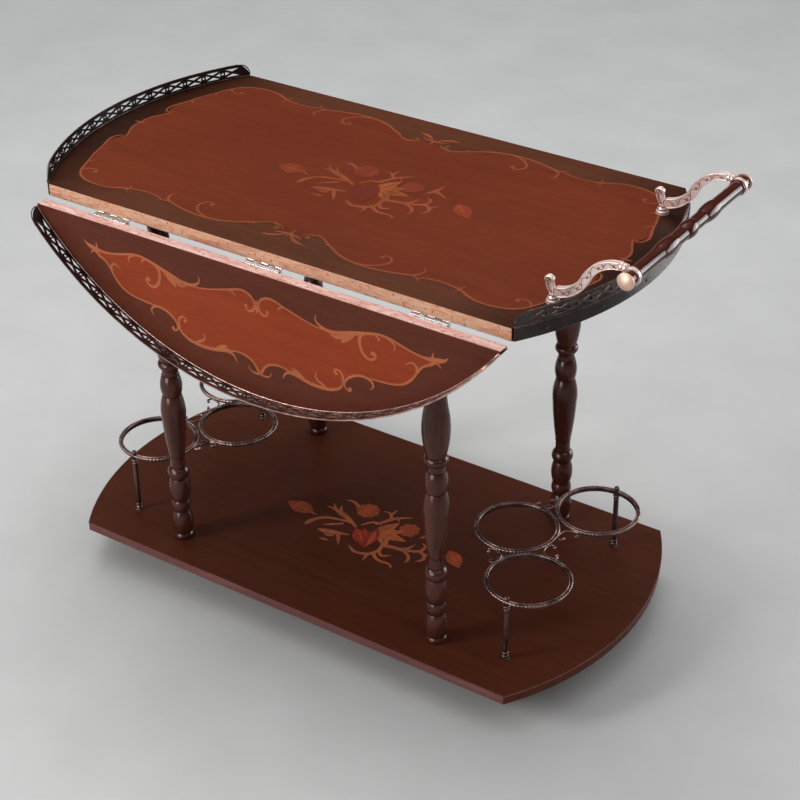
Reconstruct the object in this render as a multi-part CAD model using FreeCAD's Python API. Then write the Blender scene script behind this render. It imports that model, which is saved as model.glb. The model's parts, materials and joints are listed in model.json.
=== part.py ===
import FreeCAD
import Part
import math
import os

# Drop leaf tea trolley with turned legs, pierced galleries, bottle rings and swivel castors.
# Millimetres. +X runs along the hinge lines towards the push handle, +Y across the trolley, +Z up.
# The origin is on the floor, under the middle of the whole trolley with both leaves hanging.

Vec = FreeCAD.Vector
X_AXIS = Vec(1, 0, 0)
Y_AXIS = Vec(0, 1, 0)
Z_AXIS = Vec(0, 0, 1)
ORIGIN = Vec(0, 0, 0)

# Fits
overrun = 2.0           # how far a cutting shape runs past the face it cuts
slip = 0.05             # radial room round a screw, dowel or rivet
run = 0.06              # radial room where a piece turns on a pin
face_gap = 0.2          # room between flat faces that turn past each other
seat_gap = 0.3          # room between a bent strip and the board edge that it is pinned to

# Boards
board_width = 410.0     # between the straight long edges of the top panel and of the shelf
corner_length = 666.0   # along each straight edge, from corner to corner
end_bow = 62.0          # how far each rounded end stands out past its corners
leaf_depth = 165.0      # from a leaf's hinge edge to the middle of its rounded edge
top_thickness = 16.0    # top panel and leaves
shelf_thickness = 12.0
joint_gap = 1.0         # between the top panel and a raised leaf

# Heights
castor_height = 55.0
leg_length = 497.0

# Turned legs
leg_radius = 17.5       # at the widest turning
leg_inset_x = 128.5     # from the board's corner to the leg's axis
leg_inset_y = 49.0
leg_start_share = 0.71
# Each turning, from the foot up: where it ends along the leg, its belly radius and its end radius
leg_turning_shares = [
    (0.018, 0.78, 0.67),
    (0.089, 0.85, 0.63),
    (0.125, 0.77, 0.65),
    (0.195, 0.83, 0.65),
    (0.230, 0.83, 0.58),
    (0.262, 0.56, 0.57),
    (0.382, 0.79, 0.91),
    (0.455, 0.93, 0.70),
    (0.515, 0.83, 0.64),
    (0.535, 0.61, 0.66),
    (0.559, 0.86, 0.70),
    (0.694, 1.00, 0.83),
    (0.801, 0.67, 0.57),
    (0.829, 0.82, 0.65),
    (0.897, 0.84, 0.65),
    (0.926, 0.78, 0.66),
    (1.000, 0.86, 0.91),
]
dowel_radius = 4.0
dowel_in_leg = 26.0
dowel_in_top = 10.0
leg_bolt_radius = 3.0
leg_bolt_in_leg = 34.0
leg_bolt_head_radius = 7.0
leg_bolt_head_height = 2.5

# Pierced gallery strip
gallery_thickness = 1.5
gallery_rise = 19.0     # above the board's upper face
gallery_end_gap = 2.0   # from the strip's end to the board's corner, along the edge
handle_strip_gap = 36.0  # the same at the far end of the handle end's strip, which is shorter
gallery_end_share = 0.34  # how far the round of the strip's end cuts into its corner
gallery_bead = 1.0      # how far the beads stand out of the strip
gallery_bead_height = 2.6
gallery_rim_height = 3.2
pierce_pitch = 29.0
pierce_bar = 2.7        # width of the crossing bars
pierce_end_room = 11.0  # left whole at each end of a strip
pierce_margin = 1.0
pierce_ring_bore = 1.7  # radius of the round hole between two crossings
pierce_ring_wall = 1.8
gallery_pin_spacing = 74.0
gallery_pin_radius = 0.9
gallery_pin_length = 9.0
gallery_pin_head_radius = 2.2
gallery_pin_head_height = 0.9

# Leaf hinges
hinge_length = 50.0
hinge_offset = 230.0    # from the middle hinge to the outer ones
hinge_plate_depth = 24.0
hinge_plate_thickness = 1.5
knuckle_radius = 4.0
knuckle_relief = 0.5    # between the knuckle and the board's underside
knuckle_count = 5
knuckle_side_gap = 0.3
hinge_pin_radius = 1.8
hinge_pin_end = 1.0     # how far the pin shows past the knuckles
hinge_screw_spacing = 30.0
hinge_screw_inset = 8.0  # from the plate's free edge

# Wood screws that hold hinges and castors
wood_screw_radius = 1.7
wood_screw_length = 9.0
wood_screw_head_radius = 3.2
wood_screw_head_height = 1.5

# Turn plates that keep a raised leaf level
stay_offset = 115.0     # from the leaf's middle to each pivot
stay_inset = 28.0       # from the leaf's hinge edge to the pivot
stay_arm = 36.0         # from the pivot to the centre of the rounded working end
stay_tail = 22.0        # from the pivot to the centre of the other rounded end
stay_width = 18.0
stay_thickness = 4.0
stay_screw_radius = 2.5
stay_screw_length = 11.0
stay_screw_head_radius = 5.5
stay_screw_head_height = 2.2

# Push handle
bracket_spread_share = 0.317  # from the trolley's middle line to each bracket, in board widths
bracket_inset = 55.0    # from the rounded end's crown back to the bracket's foot
bracket_reach = 94.0    # from the foot to the rod's axis, along the trolley
bracket_rise = 58.5     # from the top to the rod's axis
bracket_foot_radius = 8.5
bracket_foot_height = 11.0
# Radius and height of each step of the bracket's foot
bracket_foot_shares = [(1.0, 0.0), (1.0, 0.2), (0.62, 0.42), (0.74, 0.6), (0.56, 0.86), (0.56, 1.0)]
arm_start_height = 12.0  # the arm is a flat bar that narrows from the foot to the rod
arm_end_height = 7.5
arm_thickness = 6.0
arm_lift = 14.0         # height of the arm's middle line over the foot
arm_start_share = 0.045  # where the flat bar starts along its middle line
arm_round_share = 0.3   # how far its rounded start stands out
arm_stations = 12       # steps between the points that each edge is drawn through
scroll_back = 4.6       # from the foot's axis back to the middle of the scroll's head
scroll_height = 26.5
scroll_radius = 3.2     # middle line of the scroll's head
scroll_wire = 2.6
scroll_sweep = 210.0    # degrees
stem_start = 1.0        # where the scroll's stem leaves the foot
stem_level = 9.6
bud_start = 2.6         # bud that fills the hollow between the scroll and the arm
bud_level = 8.6
bud_radius = 3.2
bend_reach_share = 0.42
bend_rise_share = 0.68
collar_angle = 125.0    # degrees, where the arm meets the rod's ring
collar_radius = 4.9
collar_width = 2.2
collar_shares = [1.9, 3.8]  # how far the collars lie back along the arm, in collar widths
socket_radius = 10.5    # ring that holds the rod
socket_length = 4.6
rod_radius = 10.0
tenon_radius = 8.4
tenon_end = 11.0        # how far the rod stands out of the ring
cap_radius = 10.3
cap_rim = 1.8
cap_height = 5.0
cap_spigot = 5.0
cap_spigot_radius = 4.0
bracket_screw_radius = 2.4
bracket_screw_in_foot = 8.0
bracket_screw_head_radius = 5.0
bracket_screw_head_height = 2.2
rod_start_share = 0.94
# The rod's turnings from one end to the middle of its centre ball
rod_half_turning_shares = [
    (0.022, 0.98, 0.88),
    (0.230, 0.83, 0.90),
    (0.400, 1.02, 0.60),
    (0.430, 0.52, 0.62),
]
centre_ball_share = 1.05

# Bottle rings
ring_radius = 54.5      # outside
ring_width = 4.6
ring_height = 5.0
ring_chamfer = 1.4
ring_level = 84.0       # from the shelf to the rings' underside
ring_spread = 88.5      # from the middle line to the outer rings
ring_inset = 36.6       # from the board's corner line back to the outer rings' centres
ring_tie_gap = 3.4      # between neighbouring rings
ring_tie_width = 7.0
tie_scroll_offset = 27.0  # from the bridge to the scroll
tie_scroll_bow = 6.0
tie_scroll_wire = 1.4
post_radius = 3.4
post_foot_radius = 6.5
post_foot_height = 2.6
post_flange_share = 0.4
post_spigot_radius = 2.0
post_spigot_length = 8.0
post_stud_radius = 1.3
post_stud_length = 8.0
finial_radius = 3.6
finial_foot_share = 0.8

# Castors
castor_offset_x = 14.5  # from the leg's axis in to the swivel's axis
castor_offset_y = 34.0
wheel_radius = 20.0
wheel_width = 16.0
wheel_trail = 16.0      # from the swivel's axis back to the axle
axle_radius = 3.0
axle_head_radius = 4.6
axle_head_height = 1.2
fork_thickness = 2.0
fork_side_room = 1.0
fork_crown_radius = 16.0
fork_crown_height = 3.0
fork_eye_radius = 7.5
castor_plate_size = 42.0
castor_plate_thickness = 2.0
king_pin_radius = 4.0
king_pin_head_radius = 6.5
king_pin_head_height = 2.0
castor_screw_inset = 6.0
# Wheel section as shares of the wheel's radius and of half its width, from the bore out to the tread
wheel_section_shares = [(0.36, 1.00), (0.38, 0.62), (0.70, 0.62), (0.74, 0.94), (0.94, 1.00), (1.00, 0.72)]

# Levels and places that follow from the sizes above
half_width = board_width / 2
half_length = corner_length / 2
crown_x = half_length + end_bow
shelf_bottom = castor_height
shelf_top = shelf_bottom + shelf_thickness
panel_bottom = shelf_top + leg_length
panel_top = panel_bottom + top_thickness
leg_x = half_length - leg_inset_x
leg_y = half_width - leg_inset_y
castor_x = leg_x - castor_offset_x
castor_y = leg_y - castor_offset_y
hinge_y = -(half_width + knuckle_radius)
hinge_z = panel_bottom - knuckle_relief - knuckle_radius
leaf_edge_y = -(half_width + joint_gap)
foot_x = crown_x - bracket_inset
bracket_spread = board_width * bracket_spread_share
rod_x = foot_x + bracket_reach
rod_z = panel_top + bracket_rise
gallery_reach = crown_x + seat_gap + gallery_thickness + gallery_bead
handle_reach = rod_x + socket_radius
to_middle = Vec((gallery_reach - handle_reach) / 2, 0, 0)


def arc_radius(half_chord, bow):
    return (half_chord ** 2 + bow ** 2) / (2 * bow)


def line(start, end):
    return Part.LineSegment(start, end).toShape()


def arc(start, middle, end):
    return Part.Arc(start, middle, end).toShape()


def polygon_face(points):
    return Part.Face(Part.makePolygon(points + points[:1]))


def pin(start, direction, radius, length):
    return Part.makeCylinder(radius, length, start, direction)


def block(low, high):
    size = high - low
    return Part.makeBox(size.x, size.y, size.z, low)


def revolved(points):
    # Full turn about Z of an outline given as (radius, height)
    return polygon_face([Vec(r, 0, z) for r, z in points]).revolve(ORIGIN, Z_AXIS, 360)


def moved(shape, offset):
    copy = shape.copy()
    copy.translate(offset)
    return copy


def swung(shape, centre, axis, degrees):
    copy = shape.copy()
    copy.rotate(centre, axis, degrees)
    return copy


def other_side(shape):
    return swung(shape, ORIGIN, Z_AXIS, 180)


def hanging(shape):
    # A raised front leaf's piece, dropped about the hinge line
    return swung(shape, Vec(0, hinge_y, hinge_z), X_AXIS, 90)


def turned_solid(length, radius, start_share, turning_shares):
    # A turning along +Z: each row of the table is one arc of the outline
    here = Vec(start_share * radius, 0, 0)
    edges = [line(ORIGIN, here)]
    for end_at, belly, end_radius in turning_shares:
        there = Vec(end_radius * radius, 0, end_at * length)
        middle = Vec(belly * radius, 0, (here.z + there.z) / 2)
        edges.append(arc(here, middle, there))
        here = there
    tip = Vec(0, 0, here.z)
    edges.append(line(here, tip))
    edges.append(line(tip, ORIGIN))
    return Part.Face(Part.Wire(edges)).revolve(ORIGIN, Z_AXIS, 360)


def headed_screw(seat, direction, radius, length, head_radius, head_height):
    # The head stands on the seat against the direction, the shank runs along it
    head = pin(seat, direction * -1, head_radius, head_height)
    return head.fuse(pin(seat, direction, radius, length)).removeSplitter()


def screw_hole(seat, direction, radius, length):
    start = seat - direction * overrun
    return pin(start, direction, radius + slip, length + overrun)


def bowed_board(bottom, thickness):
    signs = [(-1, -1), (1, -1), (1, 1), (-1, 1)]
    corners = [Vec(sx * half_length, sy * half_width, bottom) for sx, sy in signs]
    edges = [
        line(corners[0], corners[1]),
        arc(corners[1], Vec(crown_x, 0, bottom), corners[2]),
        line(corners[2], corners[3]),
        arc(corners[3], Vec(-crown_x, 0, bottom), corners[0]),
    ]
    return Part.Face(Part.Wire(edges)).extrude(Z_AXIS * thickness)


def leaf_board():
    # Front leaf in its raised place
    left = Vec(-half_length, leaf_edge_y, panel_bottom)
    right = Vec(half_length, leaf_edge_y, panel_bottom)
    crown = Vec(0, leaf_edge_y - leaf_depth, panel_bottom)
    return Part.Face(Part.Wire([line(left, right), arc(right, crown, left)])).extrude(Z_AXIS * top_thickness)


class GalleryArc:
    # A strip bent round a board's rounded edge, drawn about the edge's own centre with its crown on +X

    def __init__(self, half_chord, bow, centre, turn, last_gap):
        self.radius = arc_radius(half_chord, bow)
        self.inner = self.radius + seat_gap
        self.outer = self.inner + gallery_thickness
        corner_angle = math.asin(half_chord / self.radius)
        self.first_angle = gallery_end_gap / self.radius - corner_angle
        self.last_angle = corner_angle - last_gap / self.radius
        self.sweep = self.last_angle - self.first_angle
        self.centre = centre
        self.turn = turn

    def place(self, shape):
        return moved(swung(shape, ORIGIN, Z_AXIS, self.turn), self.centre)

    def radial_prism(self, angle, outline):
        # outline holds (along the edge, height) points, extruded outwards through the strip
        out = Vec(math.cos(angle), math.sin(angle), 0)
        along = Vec(-math.sin(angle), math.cos(angle), 0)
        start = out * (self.inner - overrun)
        points = [start + along * u + Z_AXIS * z for u, z in outline]
        return polygon_face(points).extrude(out * (gallery_thickness + 2 * overrun))

    def radial_pin(self, angle, radius, height):
        out = Vec(math.cos(angle), math.sin(angle), 0)
        start = out * (self.inner - overrun) + Z_AXIS * height
        return pin(start, out, radius, gallery_thickness + 2 * overrun)

    def strip(self):
        rim_top = top_thickness + gallery_rise
        bead_low = top_thickness
        rim_low = rim_top - gallery_rim_height
        section = [
            (self.inner, 0),
            (self.outer, 0),
            (self.outer, bead_low),
            (self.outer + gallery_bead, bead_low + gallery_bead_height / 2),
            (self.outer, bead_low + gallery_bead_height),
            (self.outer, rim_low),
            (self.outer + gallery_bead, rim_low + gallery_rim_height / 2),
            (self.outer, rim_top),
            (self.inner, rim_top),
        ]
        face = polygon_face([Vec(r, 0, z) for r, z in section])
        face.rotate(ORIGIN, Z_AXIS, math.degrees(self.first_angle))
        return face.revolve(ORIGIN, Z_AXIS, math.degrees(self.sweep))

    def end_corner(self, side):
        # What is taken off the strip's upper corner to leave a quarter round
        angle = self.last_angle if side > 0 else self.first_angle
        out = Vec(math.cos(angle), math.sin(angle), 0)
        inwards = Vec(-math.sin(angle), math.cos(angle), 0) * -side
        start = out * (self.inner - overrun)
        low = top_thickness
        high = low + gallery_rise
        cut_back = gallery_rise * gallery_end_share

        def at(u, z):
            return start + inwards * u + Z_AXIS * z

        edges = [
            arc(at(0, low), at(cut_back, high - cut_back), at(gallery_rise, high)),
            line(at(gallery_rise, high), at(gallery_rise, high + overrun)),
            line(at(gallery_rise, high + overrun), at(-overrun, high + overrun)),
            line(at(-overrun, high + overrun), at(-overrun, low)),
            line(at(-overrun, low), at(0, low)),
        ]
        return Part.Face(Part.Wire(edges)).extrude(out * (gallery_thickness + gallery_bead + 2 * overrun))

    def piercings(self):
        # A row of crossed bars: a ring between crossings with a gap on each side of it, and a notch above
        # and below each crossing
        low = top_thickness + gallery_bead_height + pierce_margin
        high = top_thickness + gallery_rise - gallery_rim_height - pierce_margin
        middle = (low + high) / 2
        end_room = pierce_end_room / self.inner
        free_sweep = self.sweep - 2 * end_room
        count = int(free_sweep * self.inner / pierce_pitch)
        step = free_sweep / count
        half_pitch = step * self.inner / 2
        half_rise = (high - low) / 2
        slope = math.atan2(half_rise, half_pitch)
        side_room = pierce_bar / 2 / math.sin(slope)
        rise_room = pierce_bar / 2 / math.cos(slope)
        tip = half_pitch - side_room
        ring_reach = pierce_ring_bore + pierce_ring_wall
        gap_rise = (half_rise - rise_room) * (1 - ring_reach / tip)
        gaps = [
            [(way * ring_reach, middle - gap_rise), (way * tip, middle), (way * ring_reach, middle + gap_rise)]
            for way in (-1, 1)
        ]
        notches = [
            [(side_room - half_pitch, edge), (half_pitch - side_room, edge), (0, middle + way * rise_room)]
            for edge, way in ((low, -1), (high, 1))
        ]
        cuts = []
        for i in range(count):
            angle = self.first_angle + end_room + (i + 0.5) * step
            cuts.extend(self.radial_prism(angle, notch) for notch in notches)
            if i:
                cuts.extend(self.radial_prism(angle - step / 2, gap) for gap in gaps)
                cuts.append(self.radial_pin(angle - step / 2, pierce_ring_bore, middle))
        return cuts

    def pin_angles(self):
        count = int(self.sweep * self.outer / gallery_pin_spacing)
        return [self.first_angle + self.sweep * (i + 0.5) / count for i in range(count)]

    def pins(self, bottom):
        made = []
        for angle in self.pin_angles():
            out = Vec(math.cos(angle), math.sin(angle), 0)
            seat = out * self.outer + Z_AXIS * (bottom + top_thickness / 2)
            made.append(headed_screw(seat, out * -1, gallery_pin_radius, gallery_pin_length,
                                     gallery_pin_head_radius, gallery_pin_head_height))
        return [self.place(p) for p in made]

    def pin_holes(self, bottom):
        made = []
        for angle in self.pin_angles():
            out = Vec(math.cos(angle), math.sin(angle), 0)
            seat = out * self.outer + Z_AXIS * (bottom + top_thickness / 2)
            made.append(screw_hole(seat, out * -1, gallery_pin_radius, gallery_pin_length))
        return [self.place(p) for p in made]

    def pierced_strip(self, bottom):
        strip = self.strip().cut([self.end_corner(-1), self.end_corner(1)])
        strip = self.place(moved(strip.cut(self.piercings()), Z_AXIS * bottom))
        return strip.cut(self.pin_holes(bottom))


end_arc_centre = Vec(crown_x - arc_radius(half_width, end_bow), 0, 0)
end_gallery = GalleryArc(half_width, end_bow, end_arc_centre, 0, gallery_end_gap)
handle_gallery = GalleryArc(half_width, end_bow, end_arc_centre, 0, handle_strip_gap)
leaf_arc_y = leaf_edge_y - leaf_depth + arc_radius(half_length, leaf_depth)
leaf_gallery = GalleryArc(half_length, leaf_depth, Vec(0, leaf_arc_y, 0), -90, gallery_end_gap)


def hinge_places():
    return [-hinge_offset, 0, hinge_offset]


def knuckle_spans(start, parity):
    # (from, to) along X of every second knuckle
    step = hinge_length / knuckle_count
    return [(start + i * step + knuckle_side_gap / 2, start + (i + 1) * step - knuckle_side_gap / 2)
            for i in range(knuckle_count) if i % 2 == parity]


def hinge_plate(x, side, parity):
    # side 1 lies under the top panel, side -1 under the raised leaf
    start = x - hinge_length / 2
    inner_y = hinge_y + side * knuckle_radius
    outer_y = inner_y + side * hinge_plate_depth
    low_y, high_y = sorted((inner_y, outer_y))
    plate = block(Vec(start, low_y, panel_bottom - hinge_plate_thickness),
                  Vec(start + hinge_length, high_y, panel_bottom))
    tongue_top = hinge_z + knuckle_radius
    tongue_low, tongue_high = sorted((hinge_y, inner_y + side * hinge_plate_thickness))
    for low_x, high_x in knuckle_spans(start, parity):
        tongue = block(Vec(low_x, tongue_low, tongue_top - hinge_plate_thickness),
                       Vec(high_x, tongue_high, tongue_top))
        knuckle = pin(Vec(low_x, hinge_y, hinge_z), X_AXIS, knuckle_radius, high_x - low_x)
        plate = plate.fuse([tongue, knuckle])
    bore_start = Vec(start - overrun, hinge_y, hinge_z)
    bore = pin(bore_start, X_AXIS, hinge_pin_radius + run, hinge_length + 2 * overrun)
    holes = [wood_screw_hole(seat) for seat in hinge_screw_seats(x, side)]
    return plate.removeSplitter().cut([bore] + holes)


def hinge_screw_seats(x, side):
    y = hinge_y + side * (knuckle_radius + hinge_plate_depth - hinge_screw_inset)
    z = panel_bottom - hinge_plate_thickness
    return [Vec(x + s * hinge_screw_spacing / 2, y, z) for s in (-1, 1)]


def wood_screw(seat):
    return headed_screw(seat, Z_AXIS, wood_screw_radius, wood_screw_length,
                        wood_screw_head_radius, wood_screw_head_height)


def wood_screw_hole(seat):
    return screw_hole(seat, Z_AXIS, wood_screw_radius, wood_screw_length)


def hinge_screws(side):
    return [wood_screw(seat) for x in hinge_places() for seat in hinge_screw_seats(x, side)]


def hinge_screw_holes(side):
    return [wood_screw_hole(seat) for x in hinge_places() for seat in hinge_screw_seats(x, side)]


def hinge_pins():
    length = hinge_length + 2 * hinge_pin_end
    starts = [Vec(x - length / 2, hinge_y, hinge_z) for x in hinge_places()]
    return [pin(start, X_AXIS, hinge_pin_radius, length) for start in starts]


def stay_pivot(side):
    return Vec(side * stay_offset, leaf_edge_y - stay_inset, panel_bottom)


def stay(side):
    # Turn plate under the raised leaf, folded along it with its working end pointing outwards
    r = stay_width / 2
    base = stay_pivot(side) - Z_AXIS * (face_gap + stay_thickness)
    tip = base + X_AXIS * side * stay_arm
    tail = base - X_AXIS * side * stay_tail
    edges = [
        line(tail - Y_AXIS * r, tip - Y_AXIS * r),
        arc(tip - Y_AXIS * r, tip + X_AXIS * side * r, tip + Y_AXIS * r),
        line(tip + Y_AXIS * r, tail + Y_AXIS * r),
        arc(tail + Y_AXIS * r, tail - X_AXIS * side * r, tail - Y_AXIS * r),
    ]
    plate = Part.Face(Part.Wire(edges)).extrude(Z_AXIS * stay_thickness)
    bore_start = base - Z_AXIS * overrun
    return plate.cut(pin(bore_start, Z_AXIS, stay_screw_radius + run, stay_thickness + 2 * overrun))


def stay_screw_seat(side):
    return stay_pivot(side) - Z_AXIS * (2 * face_gap + stay_thickness)


def stay_screw(side):
    length = stay_screw_length + 2 * face_gap + stay_thickness
    return headed_screw(stay_screw_seat(side), Z_AXIS, stay_screw_radius, length,
                        stay_screw_head_radius, stay_screw_head_height)


def stay_screw_holes():
    return [screw_hole(stay_pivot(s), Z_AXIS, stay_screw_radius, stay_screw_length) for s in (-1, 1)]


def leg_places():
    return {
        "front_left": Vec(-leg_x, -leg_y, 0),
        "front_right": Vec(leg_x, -leg_y, 0),
        "rear_left": Vec(-leg_x, leg_y, 0),
        "rear_right": Vec(leg_x, leg_y, 0),
    }


def dowel_pin(place, radius):
    start = place + Z_AXIS * (panel_bottom - dowel_in_leg)
    return pin(start, Z_AXIS, radius, dowel_in_leg + dowel_in_top)


def leg_dowel(place):
    return dowel_pin(place, dowel_radius)


def leg_dowel_hole(place):
    return dowel_pin(place, dowel_radius + slip)


def leg_bolt(place):
    return headed_screw(place + Z_AXIS * shelf_bottom, Z_AXIS, leg_bolt_radius,
                        shelf_thickness + leg_bolt_in_leg, leg_bolt_head_radius, leg_bolt_head_height)


def leg_bolt_hole(place):
    seat = place + Z_AXIS * shelf_bottom
    return screw_hole(seat, Z_AXIS, leg_bolt_radius, shelf_thickness + leg_bolt_in_leg)


def leg(place):
    turning = turned_solid(leg_length, leg_radius, leg_start_share, leg_turning_shares)
    return moved(turning, place + Z_AXIS * shelf_top).cut([leg_dowel_hole(place), leg_bolt_hole(place)])


def bracket_screw_seat(side):
    return Vec(foot_x, side * bracket_spread, panel_bottom)


def bracket_screw_length():
    return top_thickness + bracket_screw_in_foot


def bracket_screw(side):
    return headed_screw(bracket_screw_seat(side), Z_AXIS, bracket_screw_radius, bracket_screw_length(),
                        bracket_screw_head_radius, bracket_screw_head_height)


def bracket_screw_hole(side):
    return screw_hole(bracket_screw_seat(side), Z_AXIS, bracket_screw_radius, bracket_screw_length())


def arc_between(start, end, centre):
    # The shorter arc about a centre, for points in the bracket's own plane
    radius = (start - centre).Length
    half_way = (start + end) * 0.5 - centre
    return arc(start, centre + half_way.normalize() * radius, end)


def arm_path():
    # Middle line of the arm in two bends, with the centre of the second one
    start = Vec(0, 0, arm_lift)
    bend = Vec(bracket_reach * bend_reach_share, 0, bracket_rise * bend_rise_share)
    drop = bend - start
    low_radius = (drop.x ** 2 + drop.z ** 2) / (2 * drop.z)
    low_centre = start + Z_AXIS * low_radius
    inward = (bend - low_centre).normalize()
    meet_angle = math.radians(collar_angle)
    socket_middle = (socket_radius + tenon_radius) / 2
    meet = rod_end() + Vec(math.cos(meet_angle), 0, math.sin(meet_angle)) * socket_middle
    span = meet - bend
    high_radius = span.dot(span) / (2 * span.dot(inward))
    high_centre = bend + inward * high_radius
    return [arc_between(start, bend, low_centre), arc_between(bend, meet, high_centre)], meet, high_centre


def rod_end():
    # The rod's axis in the bracket's own plane, with the foot at the origin
    return Vec(bracket_reach, 0, bracket_rise)


def spline(points):
    curve = Part.BSplineCurve()
    curve.interpolate(points)
    return curve.toShape()


def arm_station(bends, share):
    # Point and way along at a share of the arm's length
    bend = bends[0]
    reach = share * (bends[0].Length + bends[1].Length)
    if reach > bend.Length:
        reach -= bend.Length
        bend = bends[1]
    at = bend.getParameterByLength(reach)
    return bend.valueAt(at), bend.tangentAt(at)


def arm_bar(bends):
    # Flat bar that narrows along its middle line, rounded where it starts
    upper = []
    lower = []
    for i in range(arm_stations + 1):
        share = arm_start_share + (1 - arm_start_share) * i / arm_stations
        point, along = arm_station(bends, share)
        half = (arm_start_height + (arm_end_height - arm_start_height) * share) / 2
        up = along.cross(Y_AXIS).normalize() * half
        upper.append(point + up)
        lower.append(point - up)
    first, along = arm_station(bends, arm_start_share)
    nose = first - along * (arm_start_height * arm_round_share)
    outline = Part.Wire([
        spline(upper),
        line(upper[-1], lower[-1]),
        spline(list(reversed(lower))),
        arc(lower[0], nose, upper[0]),
    ])
    face = moved(Part.Face(outline), Y_AXIS * (-arm_thickness / 2))
    return face.extrude(Y_AXIS * arm_thickness)


def foot_scroll():
    # Stem that rises behind the arm and rolls over into a round eye, and the bud under the eye
    head = Vec(-scroll_back, 0, scroll_height)
    turn_in = head - X_AXIS * scroll_radius
    start = Vec(stem_start, 0, stem_level)
    step = start - turn_in
    stem_radius = (step.x ** 2 + step.z ** 2) / (2 * step.x)
    stem_centre = turn_in + X_AXIS * stem_radius
    stem = arc_between(start, turn_in, stem_centre)
    over = swung(Part.Vertex(turn_in), head, Y_AXIS, scroll_sweep / 2).Point
    end = swung(Part.Vertex(turn_in), head, Y_AXIS, scroll_sweep).Point
    path = Part.Wire([stem, arc(turn_in, over, end)])
    heading = (start - stem_centre).cross(Y_AXIS).normalize()
    profile = Part.Wire([Part.makeCircle(scroll_wire, start, heading)])
    bud_foot = Vec(bud_start, 0, bud_level)
    bud_way = end - bud_foot
    bud = Part.makeCone(bud_radius, scroll_wire, bud_way.Length, bud_foot, bud_way)
    return [path.makePipeShell([profile], True, True), Part.makeSphere(scroll_wire, end), bud]


def bracket_form():
    # Scroll bracket with its foot at the origin and the rod's axis at (reach, rise)
    profile = [(r * bracket_foot_radius, z * bracket_foot_height) for r, z in bracket_foot_shares]
    foot = revolved([(0, 0)] + profile + [(0, profile[-1][1])])
    bends, meet, high_centre = arm_path()
    out = (meet - high_centre).normalize()
    tangent = Y_AXIS.cross(out)
    collars = [pin(meet - tangent * (share * collar_width), tangent, collar_radius, collar_width)
               for share in collar_shares]
    socket = pin(rod_end() - Y_AXIS * (socket_length / 2), Y_AXIS, socket_radius, socket_length)
    bore = pin(rod_end() - Y_AXIS * socket_length, Y_AXIS, tenon_radius + slip, 2 * socket_length)
    body = foot.fuse([arm_bar(bends), socket] + foot_scroll() + collars).removeSplitter()
    return body.cut([bore] + shoulder_room())


def shoulder_room():
    # What is cleared on both sides of the ring for the rod's shoulders
    starts = [rod_end() + Y_AXIS * way * (socket_length / 2) for way in (-1, 1)]
    return [pin(start, Y_AXIS * way, socket_radius, socket_length) for start, way in zip(starts, (-1, 1))]


def bracket(side):
    placed = moved(bracket_form(), Vec(foot_x, side * bracket_spread, panel_top))
    return placed.cut(bracket_screw_hole(side))


def handle_rod():
    body_length = 2 * bracket_spread - socket_length - 2 * face_gap
    mirrored = []
    half = rod_half_turning_shares
    starts = [(0, rod_start_share)] + [(end_at, radius) for end_at, _, radius in half]
    for (end_at, radius), (_, belly, _) in zip(reversed(starts[:-1]), reversed(half)):
        mirrored.append((1 - end_at, belly, radius))
    centre_ball = (1 - half[-1][0], centre_ball_share, half[-1][2])
    body = turned_solid(body_length, rod_radius, rod_start_share, half + [centre_ball] + mirrored)
    tenon = face_gap + socket_length + tenon_end
    tenons = pin(Z_AXIS * -tenon, Z_AXIS, tenon_radius, body_length + 2 * tenon)
    holes = [pin(Z_AXIS * start, Z_AXIS, cap_spigot_radius + slip, cap_spigot + face_gap)
             for start in (-tenon, body_length + tenon - cap_spigot - face_gap)]
    rod = swung(body.fuse(tenons).removeSplitter().cut(holes), ORIGIN, X_AXIS, -90)
    return moved(rod, Vec(rod_x, -body_length / 2, rod_z))


def rod_cap(side):
    # Domed cap that closes an end of the rod
    dome_radius = arc_radius(cap_radius, cap_height - cap_rim)
    dome_centre = cap_height - dome_radius
    half_way = math.asin(cap_radius / dome_radius) / 2
    crown = Vec(0, 0, cap_height)
    shoulder = Vec(dome_radius * math.sin(half_way), 0, dome_centre + dome_radius * math.cos(half_way))
    corners = [(0, -cap_spigot), (cap_spigot_radius, -cap_spigot), (cap_spigot_radius, 0), (cap_radius, 0),
               (cap_radius, cap_rim)]
    points = [Vec(r, 0, z) for r, z in corners]
    edges = [line(a, b) for a, b in zip(points, points[1:])]
    edges.append(arc(points[-1], shoulder, crown))
    edges.append(line(crown, points[0]))
    cap = Part.Face(Part.Wire(edges)).revolve(ORIGIN, Z_AXIS, 360)
    cap = swung(cap, ORIGIN, X_AXIS, -90 * side)
    return moved(cap, Vec(rod_x, side * (bracket_spread + socket_length / 2 + tenon_end), rod_z))


def ring_places():
    # Centres of the three rings at the handle end
    outer_x = half_length - ring_inset
    spacing = 2 * ring_radius + ring_tie_gap
    inner_x = outer_x - math.sqrt(spacing ** 2 - ring_spread ** 2)
    return {
        "front": Vec(outer_x, -ring_spread, 0),
        "middle": Vec(inner_x, 0, 0),
        "rear": Vec(outer_x, ring_spread, 0),
    }


def ring_bottom():
    return shelf_top + ring_level


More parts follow.
